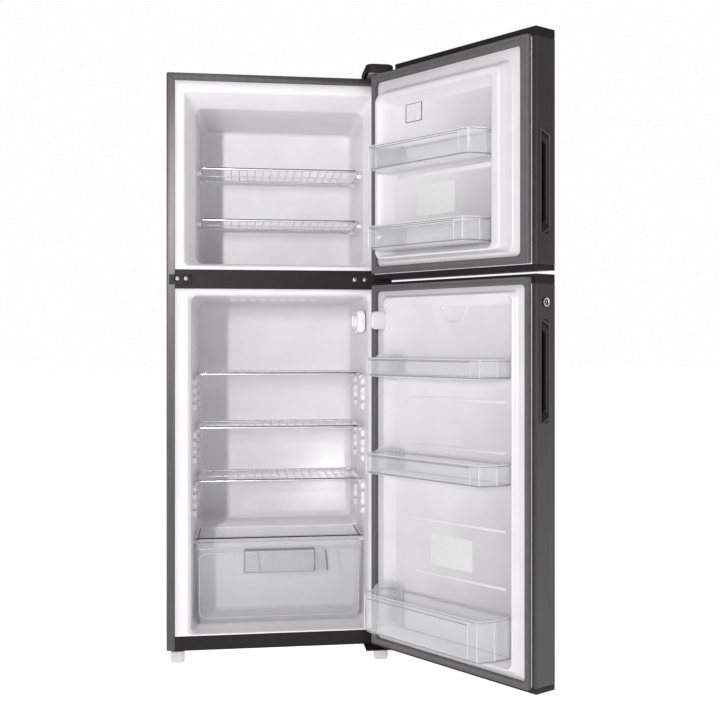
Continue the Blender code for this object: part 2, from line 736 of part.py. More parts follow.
def make_freezer_inside():
    """The freezer's shelves, and the evaporator with its cover and fan."""
    side = freezer_side_at(FREEZER_DEPTH) + SHELF_SIDE_GAP
    names = ("freezer_shelf_lower", "freezer_shelf_upper")
    for name, (front, rear, underside) in zip(names, freezer_shelf_list()):
        make_wire_shelf(name, side, RIGHT - side, front, rear, underside)

    clear = 0.002
    low, high = FREEZER_FLOOR + clear, FREEZER_CEILING - clear
    edge = freezer_side_at(FREEZER_DEPTH) + clear
    outline = rounded_outline(edge, RIGHT - edge, low, high, FREEZER_CORNER)
    rings = [[Vector((x, y, z)) for x, z in outline]
             for y in (EVAPORATOR_COVER_Y, EVAPORATOR_COVER_Y + COVER_WALL)]
    cover = loft("evaporator_cover", rings, cap_first=True, flip=True)
    add_part(cover, WHITE_PLASTIC)
    slot = 0.040
    count = 6
    pitch = (RIGHT - 2 * FREEZER_INSET) / count
    corners = []
    for index in range(count):
        x = FREEZER_INSET + pitch * (index + 0.5)
        corners.append(((x - slot / 2, EVAPORATOR_COVER_Y - slot, low + 0.006),
                        (x + slot / 2, EVAPORATOR_COVER_Y + slot, low + 0.012)))
    apply_tool(cover, boxes("cover_slots", corners))

    core_front = EVAPORATOR_COVER_Y + 0.025
    evaporator = box("evaporator", (edge + 0.030, core_front, low + 0.010),
                     (RIGHT - edge - 0.030, core_front + EVAPORATOR_THICKNESS, low + 0.190))
    add_part(evaporator, BRIGHT_ALUMINIUM)
    count = 14
    pitch = (RIGHT - 2 * edge - 0.060) / count
    corners = []
    for index in range(1, count):
        x = edge + 0.030 + pitch * index
        corners.append(((x - 0.004, core_front - 0.01, low - 0.02),
                        (x + 0.004, core_front + 0.014, low + 0.22)))
    apply_tool(evaporator, boxes("evaporator_gaps", corners))

    hub_place = Vector((RIGHT / 2, EVAPORATOR_COVER_Y + 0.040, low + 0.270))
    pivot = add_pivot("evaporator_fan_axis", hub_place)
    back = hub_place + Vector((0, 0.020, 0))
    fan = add_part(rod("evaporator_fan", hub_place, back, 0.014, 12), BLACK_PLASTIC, pivot)
    for index in range(4):
        blade = box("fan_blade", (0.010, -0.0010, -0.012), (FAN_RADIUS, 0.0010, 0.012))
        pitch_turn = Matrix.Rotation(radians(32), 4, "X")
        spoke = Matrix.Rotation(tau * index / 4, 4, "Y")
        place = Matrix.Translation(hub_place + Vector((0, 0.010, 0)))
        blade.data.transform(place @ spoke @ pitch_turn)
        join_tool(fan, blade)


# ---------------------------------------------------------------- fridge inside

def make_lamp_housing():
    """The lamp and thermostat housing on the right wall, with its knob, lens and switch."""
    wall = RIGHT - fridge_side_at(HOUSING_REAR) - GAP
    inner = wall - HOUSING_REACH
    low = FRIDGE_CEILING - HOUSING_LOW
    high = low + HOUSING_HEIGHT
    middle = (low + high) / 2
    outline = rounded_outline(HOUSING_FRONT, HOUSING_REAR, low, high, 0.018)
    rings = [[Vector((x, y, z)) for y, z in outline] for x in (inner, wall)]
    housing = add_part(loft("lamp_housing", rings, cap_first=True), WHITE_PLASTIC)
    hollow_low = low + 0.006
    lens_front, lens_rear = HOUSING_FRONT + 0.060, HOUSING_REAR - 0.012
    hollow_high = high - 0.006
    hollow = box("lamp_hollow", (inner - 0.01, lens_front, hollow_low),
                 (wall - 0.003, lens_rear, hollow_high))
    apply_tool(housing, hollow)
    knob_y = HOUSING_FRONT + 0.030
    stem = rod("knob_hole", (inner - 0.01, knob_y, middle), (inner + 0.010, knob_y, middle),
               KNOB_STEM_RADIUS + RUNNING)
    apply_tool(housing, stem)
    button_z = middle
    button_x = (inner + wall) / 2
    bore = box("switch_hole", (button_x - 0.0045, HOUSING_FRONT - 0.01, button_z - 0.0055),
               (button_x + 0.0045, HOUSING_FRONT + 0.014, button_z + 0.0055))
    apply_tool(housing, bore)

    pivot = add_pivot("thermostat_knob_axis", (inner, knob_y, middle))
    knob = rod("thermostat_knob", (inner - 0.008, knob_y, middle), (inner - RUNNING, knob_y, middle),
               KNOB_RADIUS, 24)
    add_part(knob, MILKY_PLASTIC, pivot, smooth=True)
    join_tool(knob, rod("knob_stem", (inner - 0.002, knob_y, middle), (inner + 0.008, knob_y, middle),
                        KNOB_STEM_RADIUS, 12))
    join_tool(knob, box("knob_ridge", (inner - 0.012, knob_y - 0.002, middle - 0.015),
                        (inner - 0.006, knob_y + 0.002, middle + 0.015)))

    lens = box("lamp_lens", (inner, lens_front + GAP, hollow_low + GAP),
               (inner + 0.002, lens_rear - GAP, hollow_high - GAP))
    add_part(lens, MILKY_PLASTIC)
    count = 6
    pitch = (lens_rear - lens_front) / count
    corners = []
    for index in range(count):
        y = lens_front + pitch * (index + 0.5)
        corners.append(((inner - 0.01, y - 0.0025, low + 0.012), (inner + 0.01, y + 0.0025, high - 0.012)))
    apply_tool(lens, boxes("lens_slots", corners))

    pivot = add_pivot("lamp_switch_slide", (button_x, HOUSING_FRONT, button_z))
    button = box("lamp_switch", (button_x - 0.004, HOUSING_FRONT - SWITCH_REACH, button_z - 0.005),
                 (button_x + 0.004, HOUSING_FRONT + 0.007, button_z + 0.005))
    add_part(button, WHITE_PLASTIC, pivot)


def make_glass_shelf(side, front, rear, underside):
    """The glass shelf over the crisper, in a dark trim at the front and the sides."""
    pivot = add_pivot("crisper_shelf_slide", (RIGHT / 2, front, underside))
    top = underside + TRIM_HEIGHT
    trim = box("crisper_shelf_trim", (side, front, underside), (RIGHT - side, rear, top))
    add_part(trim, BLACK_PLASTIC, pivot)
    over = 0.02
    inner_left = side + TRIM_WIDTH
    window = box("trim_window", (inner_left, front + TRIM_WIDTH, underside - over),
                 (RIGHT - inner_left, rear + over, top + over))
    apply_tool(trim, window)
    hold = TRIM_WIDTH / 2
    glass_low = underside + 0.003
    pocket = box("trim_pocket", (side + hold, front + hold, glass_low),
                 (RIGHT - side - hold, rear + over, glass_low + GLASS_THICKNESS))
    apply_tool(trim, pocket)
    fit = hold + GAP
    glass = box("crisper_shelf_glass", (side + fit, front + fit, glass_low + GAP),
                (RIGHT - side - fit, rear - GAP, glass_low + GLASS_THICKNESS - GAP))
    add_part(glass, CLEAR_GLASS, pivot)


def make_crisper(side, front, rear, top):
    """The clear crisper drawer with its hooded grip."""
    low = FRIDGE_FLOOR + 0.003
    taper = 0.008
    pivot = add_pivot("crisper_slide", (RIGHT / 2, front, low))
    upper = rounded_outline(side, RIGHT - side, front, rear, 0.008)
    lower = rounded_outline(side + taper, RIGHT - side - taper, front + 0.001, rear - taper, 0.010)
    inset = taper + 0.004
    bottom = rounded_outline(side + inset, RIGHT - side - inset, front + 0.005, rear - inset, 0.008)
    rings = [level_ring(upper, top), level_ring(lower, low + 0.004), level_ring(bottom, low)]
    tub = loft("crisper_drawer", rings)
    tub.data.flip_normals()
    add_part(tub, CLEAR_PLASTIC, pivot)
    solidify(tub, CRISPER_WALL)
    half = GRIP_HOOD_WIDTH / 2
    hood_top = top - 0.006
    hood_low = hood_top - GRIP_HOOD_HEIGHT
    middle = RIGHT / 2
    hood = box("grip_hood", (middle - half, front - GRIP_HOOD_DEPTH, hood_low),
               (middle + half, front + CRISPER_WALL / 2, hood_top))
    join_tool(tub, hood)
    wall = CRISPER_WALL
    finger = box("grip_finger_room", (middle - half + wall, front - GRIP_HOOD_DEPTH + wall, hood_low - 0.02),
                 (middle + half - wall, front - GAP, hood_top - wall))
    apply_tool(tub, finger)


def make_fridge_inside():
    """The wire shelves, the glass shelf, the crisper and the lamp housing."""
    shelves = fridge_shelf_list()
    names = ("fridge_shelf_lower", "fridge_shelf_middle", "fridge_shelf_upper")
    for name, (front, rear, underside) in zip(names, shelves[1:]):
        side = fridge_side_at(rear) + SHELF_SIDE_GAP / 2
        make_wire_shelf(name, side, RIGHT - side, front, rear, underside)
    front, rear, underside = shelves[0]
    side = fridge_side_at(rear) + SHELF_SIDE_GAP / 2
    make_glass_shelf(side, front, rear, underside)
    top = underside - CRISPER_TOP_GAP - 2 * SUPPORT_RADIUS
    make_crisper(side, FRIDGE_SHELF_FRONT, rear - 0.004, top)
    make_lamp_housing()


# ---------------------------------------------------------------- doors

def make_door_skin(name, low, high, pivot):
    """The folded outer sheet of a door, with its inner returns."""
    skin = box(name, (0, DOOR_OUTER, low), (RIGHT, DOOR_INNER, high))
    add_part(skin, DARK_STEEL, pivot)
    over = 0.02
    inside = box(name + "_inside", (SKIN, DOOR_OUTER + SKIN, low - over),
                 (RIGHT - SKIN, DOOR_INNER - SKIN, high + over))
    mouth = box(name + "_mouth", (SKIN_RETURN, DOOR_INNER - over, low - over),
                (RIGHT - SKIN_RETURN, DOOR_INNER + over, high + over))
    apply_tool(skin, inside)
    apply_tool(skin, mouth)
    return skin


def door_liner_rings(sections):
    """The rings of a door liner's visible side."""
    return [upright_ring(section[:5] + (DOOR_INNER + section[5],)) for section in sections]


def freezer_door_sections():
    """Left, right, low, high, corner and rise of the freezer door liner's rings."""
    low, high = FREEZER_DOOR_LOW + BOTTOM_CAP + GAP, FREEZER_DOOR_TOP - TOP_CAP - GAP
    edge = SKIN_RETURN + GAP
    foot_low, foot_high = MULLION_TOP + 0.010, TOP - FREEZER_ROOF_FRONT + 0.012
    hill_low, hill_high = FREEZER_FLOOR + 0.003, FREEZER_CEILING + 0.010
    rise = 0.036
    return [
        (edge, RIGHT - edge, low, high, 0.002, 0.0),
        (0.040, RIGHT - 0.028, foot_low, foot_high, 0.016, 0.0),
        (0.041, RIGHT - 0.029, foot_low + 0.001, foot_high - 0.001, 0.016, 0.001),
        (0.066, RIGHT - 0.046, foot_low + 0.008, foot_high - 0.020, 0.020, 0.002),
        (0.074, RIGHT - 0.058, hill_low, hill_high, 0.020, rise),
        (0.098, RIGHT - 0.065, hill_low + 0.005, hill_high - 0.012, 0.016, rise),
        (0.104, RIGHT - 0.096, hill_low + 0.013, hill_high - 0.030, 0.014, 0.006),
    ]


def fridge_door_sections():
    """Left, right, low, high, corner and rise of the fridge door liner's rings."""
    low, high = FRIDGE_DOOR_LOW + BOTTOM_CAP + GAP, FRIDGE_DOOR_TOP - TOP_CAP - GAP
    edge = SKIN_RETURN + GAP
    foot_low, foot_high = FRIDGE_FLOOR - 0.006, FRIDGE_CEILING + 0.007
    return [
        (edge, RIGHT - edge, low, high, 0.002, 0.0),
        (0.026, RIGHT - 0.028, foot_low, foot_high, 0.012, 0.0),
        (0.027, RIGHT - 0.029, foot_low + 0.001, foot_high - 0.001, 0.012, 0.001),
        (0.048, RIGHT - 0.052, foot_low + 0.009, foot_high - 0.010, 0.014, 0.004),
        (0.056, RIGHT - 0.0605, foot_low + 0.014, foot_high - 0.014, 0.016, 0.014),
        (0.0595, RIGHT - 0.067, foot_low + 0.017, foot_high - 0.018, 0.016, 0.014),
        (0.0625, RIGHT - 0.096, foot_low + 0.022, foot_high - 0.036, 0.014, 0.004),
    ]


def make_door_liner(name, sections, pivot):
    """The formed inner panel of a door."""
    liner = loft(name, door_liner_rings(sections), flip=True)
    add_part(liner, WHITE_PLASTIC, pivot, smooth=True)
    solidify(liner, DOOR_LINER_WALL)
    return liner


def make_gasket(name, outer, inner, pivot):
    """The sealing frame around a door liner."""
    back = DOOR_INNER + GAP
    face = -GASKET_FACE
    gasket = box(name, (outer[0], back, outer[2]), (outer[1], face, outer[3]))
    add_part(gasket, GASKET_RUBBER, pivot)
    over = 0.02
    window = box(name + "_window", (inner[0], back - over, inner[2]), (inner[1], face + over, inner[3]))
    apply_tool(gasket, window)


def make_cap(name, low, high, pivot, material=BLACK_PLASTIC):
    """A plastic cap that closes one end of a door."""
    cap = box(name, (0, DOOR_OUTER, low), (RIGHT, DOOR_INNER, high))
    return add_part(cap, material, pivot)


def drill_cap(cap, low, high):
    """The hinge pin's hole in a door cap."""
    hole = rod(cap.name + "_pin_hole", (HINGE_X, HINGE_Y, low), (HINGE_X, HINGE_Y, high),
               PIN_RADIUS + RUNNING)
    apply_tool(cap, hole)


def make_door_foam(name, low, high, pivot):
    """The foam that fills a door between its skin and its liner."""
    edge = SKIN + GAP
    front = DOOR_OUTER + SKIN + GAP
    back = DOOR_INNER - DOOR_LINER_WALL - GAP
    foam = box(name, (edge, front, low + GAP), (RIGHT - edge, back, high - GAP))
    return add_part(foam, FOAM, pivot)


def make_handle_pocket(name, low, skin, foam, pivot):
    """The finger pocket in a door's free edge, with its hole in the skin and the foam."""
    near = DOOR_INNER - HANDLE_FROM_INNER
    far = near - HANDLE_WIDTH
    high = low + HANDLE_HEIGHT
    pocket = add_part(box(name, (0.0, far, low), (HANDLE_DEPTH, near, high)), BLACK_PLASTIC, pivot)
    wall = 0.0015
    slope = 0.014
    rings = []
    for x, shift in ((-0.01, 0.0), (HANDLE_DEPTH - wall, slope)):
        bottom, top = low + wall + shift, high - wall - shift
        outline = [(far + wall, bottom), (near - wall, bottom), (near - wall, top), (far + wall, top)]
        rings.append([Vector((x, y, z)) for y, z in outline])
    apply_tool(pocket, loft(name + "_hollow", rings, cap_first=True))
    for part in (skin, foam):
        room = box(part.name + "_pocket_room", (-0.01, far - GAP, low - GAP),
                   (HANDLE_DEPTH + GAP, near + GAP, high + GAP))
        apply_tool(part, room)


def bin_outline(left, right, back, dyke_top, dyke_end, reach, inset=0.0):
    """A door bin in plan, from the free side, clear of the rise along the hinge side."""
    chamfer_x, chamfer_y = BIN_CHAMFER
    near, far = left + inset, right - inset
    front = DOOR_INNER + reach - inset
    rear = DOOR_INNER + back
    step = DOOR_INNER + dyke_top
    slope_end = RIGHT - dyke_end
    return [(left, rear), (near, front - chamfer_y), (near + chamfer_x, front), (far - chamfer_x, front),
            (far, front - chamfer_y), (right, step), (slope_end, rear)]


def make_bin(name, low, high, shape_values, pivot):
    """A clear door bin."""
    rim = level_ring(bin_outline(*shape_values), high)
    bottom = level_ring(bin_outline(*shape_values, inset=0.003), low)
    tray = add_part(loft(name, [rim, bottom]), CLEAR_PLASTIC, pivot)
    solidify(tray, BIN_WALL)


def make_freezer_door():
    """The freezer door and everything on it."""
    pivot = add_pivot("freezer_door_hinge", (HINGE_X, HINGE_Y, FREEZER_DOOR_LOW), OPEN_ANGLE)
    low, high = FREEZER_DOOR_LOW, FREEZER_DOOR_TOP
    inner_low, inner_high = low + BOTTOM_CAP, high - TOP_CAP
    skin = make_door_skin("freezer_door_skin", inner_low + GAP, inner_high - GAP, pivot)
    foam = make_door_foam("freezer_door_foam", inner_low, inner_high, pivot)
    make_door_liner("freezer_door_liner", freezer_door_sections(), pivot)
    bottom = make_cap("freezer_door_bottom_cap", low, inner_low, pivot)
    drill_cap(bottom, low - 0.01, low + PIN_DEPTH + RUNNING)
    cap = make_cap("freezer_door_top_cap", inner_high, high, pivot)
    over = 0.02
    notch = box("hinge_notch", (RIGHT - NOTCH_LENGTH, DOOR_OUTER - over, high - NOTCH_DEPTH),
                (RIGHT + over, DOOR_INNER + over, high + over))
    apply_tool(cap, notch)
    drill_cap(cap, high - NOTCH_DEPTH - 0.005, high + over)
    gasket_outer = (GASKET_OUT, RIGHT - GASKET_OUT, MULLION_TOP - 0.010, TOP - 0.005)
    gasket_inner = (0.038, RIGHT - 0.026, MULLION_TOP + 0.007, TOP - FREEZER_ROOF_FRONT + 0.016)
    make_gasket("freezer_door_gasket", gasket_outer, gasket_inner, pivot)
    make_handle_pocket("freezer_door_grip", low + 0.077, skin, foam, pivot)
    for name, bin_low, height, left, reach in (
        ("freezer_bin_lower", 0.022, 0.054, 0.123, 0.080),
        ("freezer_bin_upper", 0.206, 0.058, 0.107, 0.080),
    ):
        values = (left, RIGHT - 0.071, 0.0080, 0.0405, 0.104, reach)
        bin_floor = FREEZER_FLOOR + bin_low
        make_bin(name, bin_floor, bin_floor + height, values, pivot)


def make_fridge_door():
    """The fridge door and everything on it."""
    pivot = add_pivot("fridge_door_hinge", (HINGE_X, HINGE_Y, FRIDGE_DOOR_LOW), OPEN_ANGLE)
    low, high = FRIDGE_DOOR_LOW, FRIDGE_DOOR_TOP
    inner_low, inner_high = low + BOTTOM_CAP, high - TOP_CAP
    skin = make_door_skin("fridge_door_skin", inner_low + GAP, inner_high - GAP, pivot)
    foam = make_door_foam("fridge_door_foam", inner_low, inner_high, pivot)
    liner = make_door_liner("fridge_door_liner", fridge_door_sections(), pivot)
    tab_low = FRIDGE_CEILING - HOUSING_LOW + 0.008
    tab_face = HOUSING_FRONT - SWITCH_REACH - 0.0015
    tab = box("switch_tab", (RIGHT - 0.072, DOOR_INNER + 0.010, tab_low),
              (RIGHT - 0.0615, tab_face, tab_low + 0.042))
    join_tool(liner, tab)
    bottom = make_cap("fridge_door_bottom_cap", low, inner_low, pivot)
    drill_cap(bottom, low - 0.01, low + PIN_DEPTH + RUNNING)
    cap = make_cap("fridge_door_top_cap", inner_high, high, pivot)
    drill_cap(cap, high - PIN_DEPTH - RUNNING, high + 0.01)
    gasket_outer = (GASKET_OUT, RIGHT - GASKET_OUT, 0.018, MULLION_LOW + 0.008)
    gasket_inner = (0.0245, RIGHT - 0.0265, FRIDGE_FLOOR - 0.008, FRIDGE_CEILING + 0.009)
    make_gasket("fridge_door_gasket", gasket_outer, gasket_inner, pivot)
    make_handle_pocket("fridge_door_grip", high - 0.314, skin, foam, pivot)

    lock_z = high - 0.059
    lock_pivot_place = Vector((0.0, DOOR_MIDDLE_Y, lock_z))
    for part in (skin, foam):
        hole = rod(part.name + "_lock_hole", (-0.01, DOOR_MIDDLE_Y, lock_z), (0.022, DOOR_MIDDLE_Y, lock_z),
                   LOCK_RADIUS + RUNNING, 20)
        apply_tool(part, hole)
    lock = rod("door_lock", (-0.003, DOOR_MIDDLE_Y, lock_z), (0.020, DOOR_MIDDLE_Y, lock_z), LOCK_RADIUS, 20)
    add_part(lock, CHROME, pivot, smooth=True)
    slot = box("key_slot", (-0.01, DOOR_MIDDLE_Y - KEY_SLOT_HALF_WIDTH, lock_z - KEY_SLOT_HALF_HEIGHT),
               (0.004, DOOR_MIDDLE_Y + KEY_SLOT_HALF_WIDTH, lock_z + KEY_SLOT_HALF_HEIGHT))
    apply_tool(lock, slot)

    shares = (("fridge_bin_lower", 0.060, 0.093, 0.092), ("fridge_bin_middle", 0.429, 0.049, 0.086),
              ("fridge_bin_upper", 0.656, 0.044, 0.084))
    for name, bin_low, height, reach in shares:
        values = (0.066, RIGHT - 0.071, 0.0060, 0.0175, 0.101, reach)
        make_bin(name, low + bin_low, low + bin_low + height, values, pivot)


# ---------------------------------------------------------------- hinges and fasteners

def make_top_hinge():
    """The top hinge plate with its pin, under a cover."""
    plate_low = TOP + GAP
    plate = box("top_hinge_bracket", (HINGE_X - 0.044, HINGE_Y - 0.014, plate_low),
                (HINGE_X + 0.012, 0.058, plate_low + HINGE_PLATE))
    add_part(plate, GALVANISED)
    pin_low = FREEZER_DOOR_TOP - NOTCH_DEPTH - 0.004
    join_tool(plate, rod("top_hinge_pin", (HINGE_X, HINGE_Y, pin_low), (HINGE_X, HINGE_Y, plate_low + 0.006),
                         PIN_RADIUS))
    wall = 0.002
    low_x, high_x = HINGE_X - 0.051, HINGE_X + 0.017
    low_y, high_y = HINGE_Y - 0.020, 0.066
    cover = box("top_hinge_cover", (low_x, low_y, plate_low), (high_x, high_y, TOP + HINGE_COVER_HEIGHT))
    add_part(cover, BLACK_PLASTIC)
    bevel(cover, 0.004)
    apply_tool(cover, box("cover_hollow", (low_x + wall, low_y + wall, plate_low - 0.01),
                          (high_x - wall, high_y - wall, TOP + HINGE_COVER_HEIGHT - wall)))


def make_middle_hinge():
    """The middle hinge, the blank plate at the other end of the mullion, and their screws."""
    low, high = MULLION_LOW + 0.010, MULLION_TOP - 0.012
    face = -GAP
    front = face - HINGE_PLATE + 0.001
    arm_low = SPLIT_MIDDLE - HINGE_PLATE / 2
    bracket = box("middle_hinge_bracket", (HINGE_X - 0.088, front, low), (HINGE_X - 0.001, face, high))
    add_part(bracket, BLACK_STEEL)
    arm = box("middle_hinge_arm", (HINGE_X - 0.028, HINGE_Y - 0.012, arm_low),
              (HINGE_X + 0.011, face - 0.0005, arm_low + HINGE_PLATE))
    join_tool(bracket, arm)
    reach = DOOR_SPLIT / 2 + PIN_DEPTH
    join_tool(bracket, rod("middle_hinge_pin", (HINGE_X, HINGE_Y, SPLIT_MIDDLE - reach),
                           (HINGE_X, HINGE_Y, SPLIT_MIDDLE + reach), PIN_RADIUS))
    blank = box("mullion_blank_plate", (0.006, front, low), (0.060, face, high))
    add_part(blank, BLACK_STEEL)
    screw_z = SPLIT_MIDDLE + 0.006
    places = (("mullion_screw_outer_left", 0.026), ("mullion_screw_inner_left", 0.046),
              ("mullion_screw_inner_right", HINGE_X - 0.073), ("mullion_screw_outer_right", HINGE_X - 0.048))
    for name, x in places:
        seat = front - GAP
        screw = rod(name, (x, seat, screw_z), (x, seat - SCREW_HEAD, screw_z), SCREW_RADIUS, 12,
                    SCREW_RADIUS * 0.7)
        add_part(screw, GALVANISED, smooth=True)


def make_bottom_hinge():
    """The bottom hinge plate under the cabinet, with its pin."""
    top = -GAP
    plate = box("bottom_hinge_bracket", (HINGE_X - 0.050, HINGE_Y - 0.014, top - HINGE_PLATE),
                (HINGE_X + 0.015, 0.070, top))
    add_part(plate, BLACK_STEEL)
    join_tool(plate, rod("bottom_hinge_pin", (HINGE_X, HINGE_Y, top - 0.001),
                         (HINGE_X, HINGE_Y, FRIDGE_DOOR_LOW + PIN_DEPTH), PIN_RADIUS))


# ---------------------------------------------------------------- assembly

def model_box():
    """The lowest and highest corners of all pieces as they stand."""
    bpy.context.view_layer.update()
    graph = bpy.context.evaluated_depsgraph_get()
    low = Vector((1e9, 1e9, 1e9))
    high = -low
    for item in PARTS.objects:
        if item.type != "MESH":
            continue
        evaluated = item.evaluated_get(graph)
        for corner in evaluated.bound_box:
            point = evaluated.matrix_world @ Vector(corner)
            low = Vector(map(min, low, point))
            high = Vector(map(max, high, point))
    return low, high


def main():
    """Build every piece and set the origin."""
    make_cabinet_shell()
    make_cross_channel("bottom_rail", 0.0, RAIL_HEIGHT, RAIL_DEPTH, BLACK_STEEL)
    make_cross_channel("mullion", MULLION_LOW, MULLION_TOP, MULLION_DEPTH, BLACK_STEEL)
    make_liner("freezer_liner", freezer_sections(), freezer_shelf_list(), freezer_side_at)
    make_liner("fridge_liner", fridge_sections(), fridge_shelf_list(), fridge_side_at)
    make_foam()
    make_back_and_base()
    make_feet_and_rollers()
    make_machine_pieces()
    make_freezer_inside()
    make_fridge_inside()
    make_freezer_door()
    make_fridge_door()
    make_top_hinge()
    make_middle_hinge()
    make_bottom_hinge()
    low, high = model_box()
    ROOT.location = (-(low.x + high.x) / 2, -(low.y + high.y) / 2, -low.z)


main()
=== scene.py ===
"""Looks of a top freezer refrigerator with both doors open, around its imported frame.

Pieces are worked out in the cabinet's own frame, in metres: x runs right from the
cabinet's left side, y runs back from its front face, and z runs up from its bottom edge.
A door's pieces are worked out with the door shut, and then turned open on its hinge.
"""
import json
from math import cos, hypot, pi, radians, sin, tau

import bmesh
import bpy
from mathutils import Matrix, Vector


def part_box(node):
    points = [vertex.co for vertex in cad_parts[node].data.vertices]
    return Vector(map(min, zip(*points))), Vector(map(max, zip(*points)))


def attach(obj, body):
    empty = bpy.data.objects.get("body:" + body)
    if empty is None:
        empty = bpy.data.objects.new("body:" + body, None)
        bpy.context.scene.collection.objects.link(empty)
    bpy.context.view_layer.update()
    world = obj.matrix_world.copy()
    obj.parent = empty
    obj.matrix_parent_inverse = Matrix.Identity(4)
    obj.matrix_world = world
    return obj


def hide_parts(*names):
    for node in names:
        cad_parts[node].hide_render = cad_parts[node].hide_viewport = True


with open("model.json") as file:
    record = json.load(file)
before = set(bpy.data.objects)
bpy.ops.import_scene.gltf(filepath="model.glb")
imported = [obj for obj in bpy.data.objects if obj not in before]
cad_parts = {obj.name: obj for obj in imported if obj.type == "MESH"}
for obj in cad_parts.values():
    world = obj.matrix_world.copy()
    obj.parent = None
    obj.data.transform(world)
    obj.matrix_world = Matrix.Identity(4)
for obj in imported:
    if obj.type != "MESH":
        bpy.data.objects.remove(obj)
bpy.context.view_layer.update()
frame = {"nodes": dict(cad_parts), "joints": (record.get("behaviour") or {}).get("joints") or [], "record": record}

NODES = frame["nodes"]
JOINTS = {joint["name"]: joint for joint in frame["joints"]}


# ---------------------------------------------------------------- frames of work

SHELL_LOW = Vector(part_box("cabinet_shell")[0])
RAIL_LOW = Vector(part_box("bottom_rail")[0])
CABINET = Matrix.Translation((SHELL_LOW.x, SHELL_LOW.y, RAIL_LOW.z))


def shut_door(joint_name):
    """The cabinet's frame, turned open with a door about its hinge."""
    joint = JOINTS[joint_name]
    pin = Matrix.Translation(Vector(joint["pos_m"]))
    opened = Matrix.Rotation(-radians(joint["range_deg"][0]), 4, "Z")
    return pin @ opened @ pin.inverted() @ CABINET


FREEZER_DOOR = shut_door("freezer_door_hinge")
FRIDGE_DOOR = shut_door("fridge_door_hinge")


def box_in(place, *names):
    """The lowest and highest corners of CAD nodes in a frame of work."""
    back = place.inverted()
    points = [back @ vertex.co for name in names for vertex in NODES[name].data.vertices]
    return Vector(map(min, *points)), Vector(map(max, *points))


CABINET_HIGH = box_in(CABINET, "cabinet_shell", "bottom_rail")[1]
WIDTH = CABINET_HIGH.x
HEIGHT = CABINET_HIGH.z
MIDDLE = WIDTH / 2


# ---------------------------------------------------------------- shader maths

class Value:
    """A socket that takes part in sums."""

    def __init__(self, paint, socket):
        self.paint = paint
        self.socket = socket

    def sum_node(self, operation, first, second=None):
        values = {0: first}
        if second is not None:
            values[1] = second
        return self.paint.add("ShaderNodeMath", {"operation": operation}, values)

    def __add__(self, other):
        return self.sum_node("ADD", self, other)

    def __sub__(self, other):
        return self.sum_node("SUBTRACT", self, other)

    def __mul__(self, other):
        return self.sum_node("MULTIPLY", self, other)

    def __rsub__(self, other):
        return self.sum_node("SUBTRACT", other, self)

    def __lt__(self, other):
        return self.sum_node("LESS_THAN", self, other)

    def __gt__(self, other):
        return self.sum_node("GREATER_THAN", self, other)

    __radd__ = __add__
    __rmul__ = __mul__

    def wave(self):
        return self.sum_node("SINE", self)

    def size(self):
        return self.sum_node("ABSOLUTE", self)

    def eased(self, low, high):
        """Rises from 0 to 1 between two values."""
        return self.paint.add("ShaderNodeMapRange", {"interpolation_type": "SMOOTHSTEP"},
                              {"Value": self, "From Min": low, "From Max": high}, "Result")


class Paint:
    """A material that is put together node by node."""

    def __init__(self, name):
        self.material = bpy.data.materials.new(name)
        self.material.use_nodes = True
        self.tree = self.material.node_tree
        self.shader = self.tree.nodes["Principled BSDF"]

    def add(self, kind, settings=None, inputs=None, output=0):
        """A node with its settings, then its inputs; gives one of its outputs."""
        node = self.tree.nodes.new(kind)
        for name, value in (settings or {}).items():
            if name == "stops":
                self.set_stops(node, value)
            else:
                setattr(node, name, value)
        for name, value in (inputs or {}).items():
            self.feed(node.inputs[name], value)
        return Value(self, node.outputs[output])

    def set_stops(self, node, stops):
        """Give a colour ramp its stops."""
        ramp = node.color_ramp
        while len(ramp.elements) < len(stops):
            ramp.elements.new(0.5)
        for element, (place, colour) in zip(ramp.elements, stops):
            element.position = place
            element.color = (*colour, 1.0)

    def feed(self, socket, value):
        """Link a value to a socket, or set the socket."""
        if isinstance(value, Value):
            self.tree.links.new(value.socket, socket)
        elif isinstance(value, tuple) and len(value) == 3 and socket.type == "RGBA":
            socket.default_value = (*value, 1.0)
        else:
            socket.default_value = value

    def place(self):
        """Position on the surface in metres, in the object's own frame."""
        return self.add("ShaderNodeTexCoord", None, None, "Object")

    def axes(self):
        """The three coordinates of the position, each as a value."""
        node = self.tree.nodes.new("ShaderNodeSeparateXYZ")
        self.feed(node.inputs[0], self.place())
        return [Value(self, output) for output in node.outputs]

    def stretched(self, scale):
        """The position scaled by an amount for each axis."""
        return self.add("ShaderNodeMapping", None, {"Vector": self.place(), "Scale": scale})

    def noise(self, scale, detail=2.0, stretch=None):
        """Noise between 0 and 1, at a scale per metre, stretched along the axes if asked."""
        where = self.stretched(stretch) if stretch else self.place()
        return self.add("ShaderNodeTexNoise", None, {"Vector": where, "Scale": scale, "Detail": detail})

    def cells(self, scale, output="Distance"):
        """Distance to the middle of scattered cells, or each cell's own colour."""
        return self.add("ShaderNodeTexVoronoi", None, {"Vector": self.place(), "Scale": scale}, output)

    def blend(self, share, first, second):
        """One colour turning into another."""
        node = self.tree.nodes.new("ShaderNodeMix")
        node.data_type = "RGBA"
        self.feed(node.inputs[0], share)
        self.feed(node.inputs[6], first)
        self.feed(node.inputs[7], second)
        return Value(self, node.outputs[2])

    def relief(self, height, depth):
        """Fine relief of a height, up to a depth in metres."""
        return self.add("ShaderNodeBump", None, {"Height": height, "Distance": depth, "Strength": 1.0})

    def finish(self, **values):
        """Set the shader's sockets, underscores standing for spaces."""
        for name, value in values.items():
            self.feed(self.shader.inputs[name.replace("_", " ")], value)
        return self.material


# ---------------------------------------------------------------- finishes

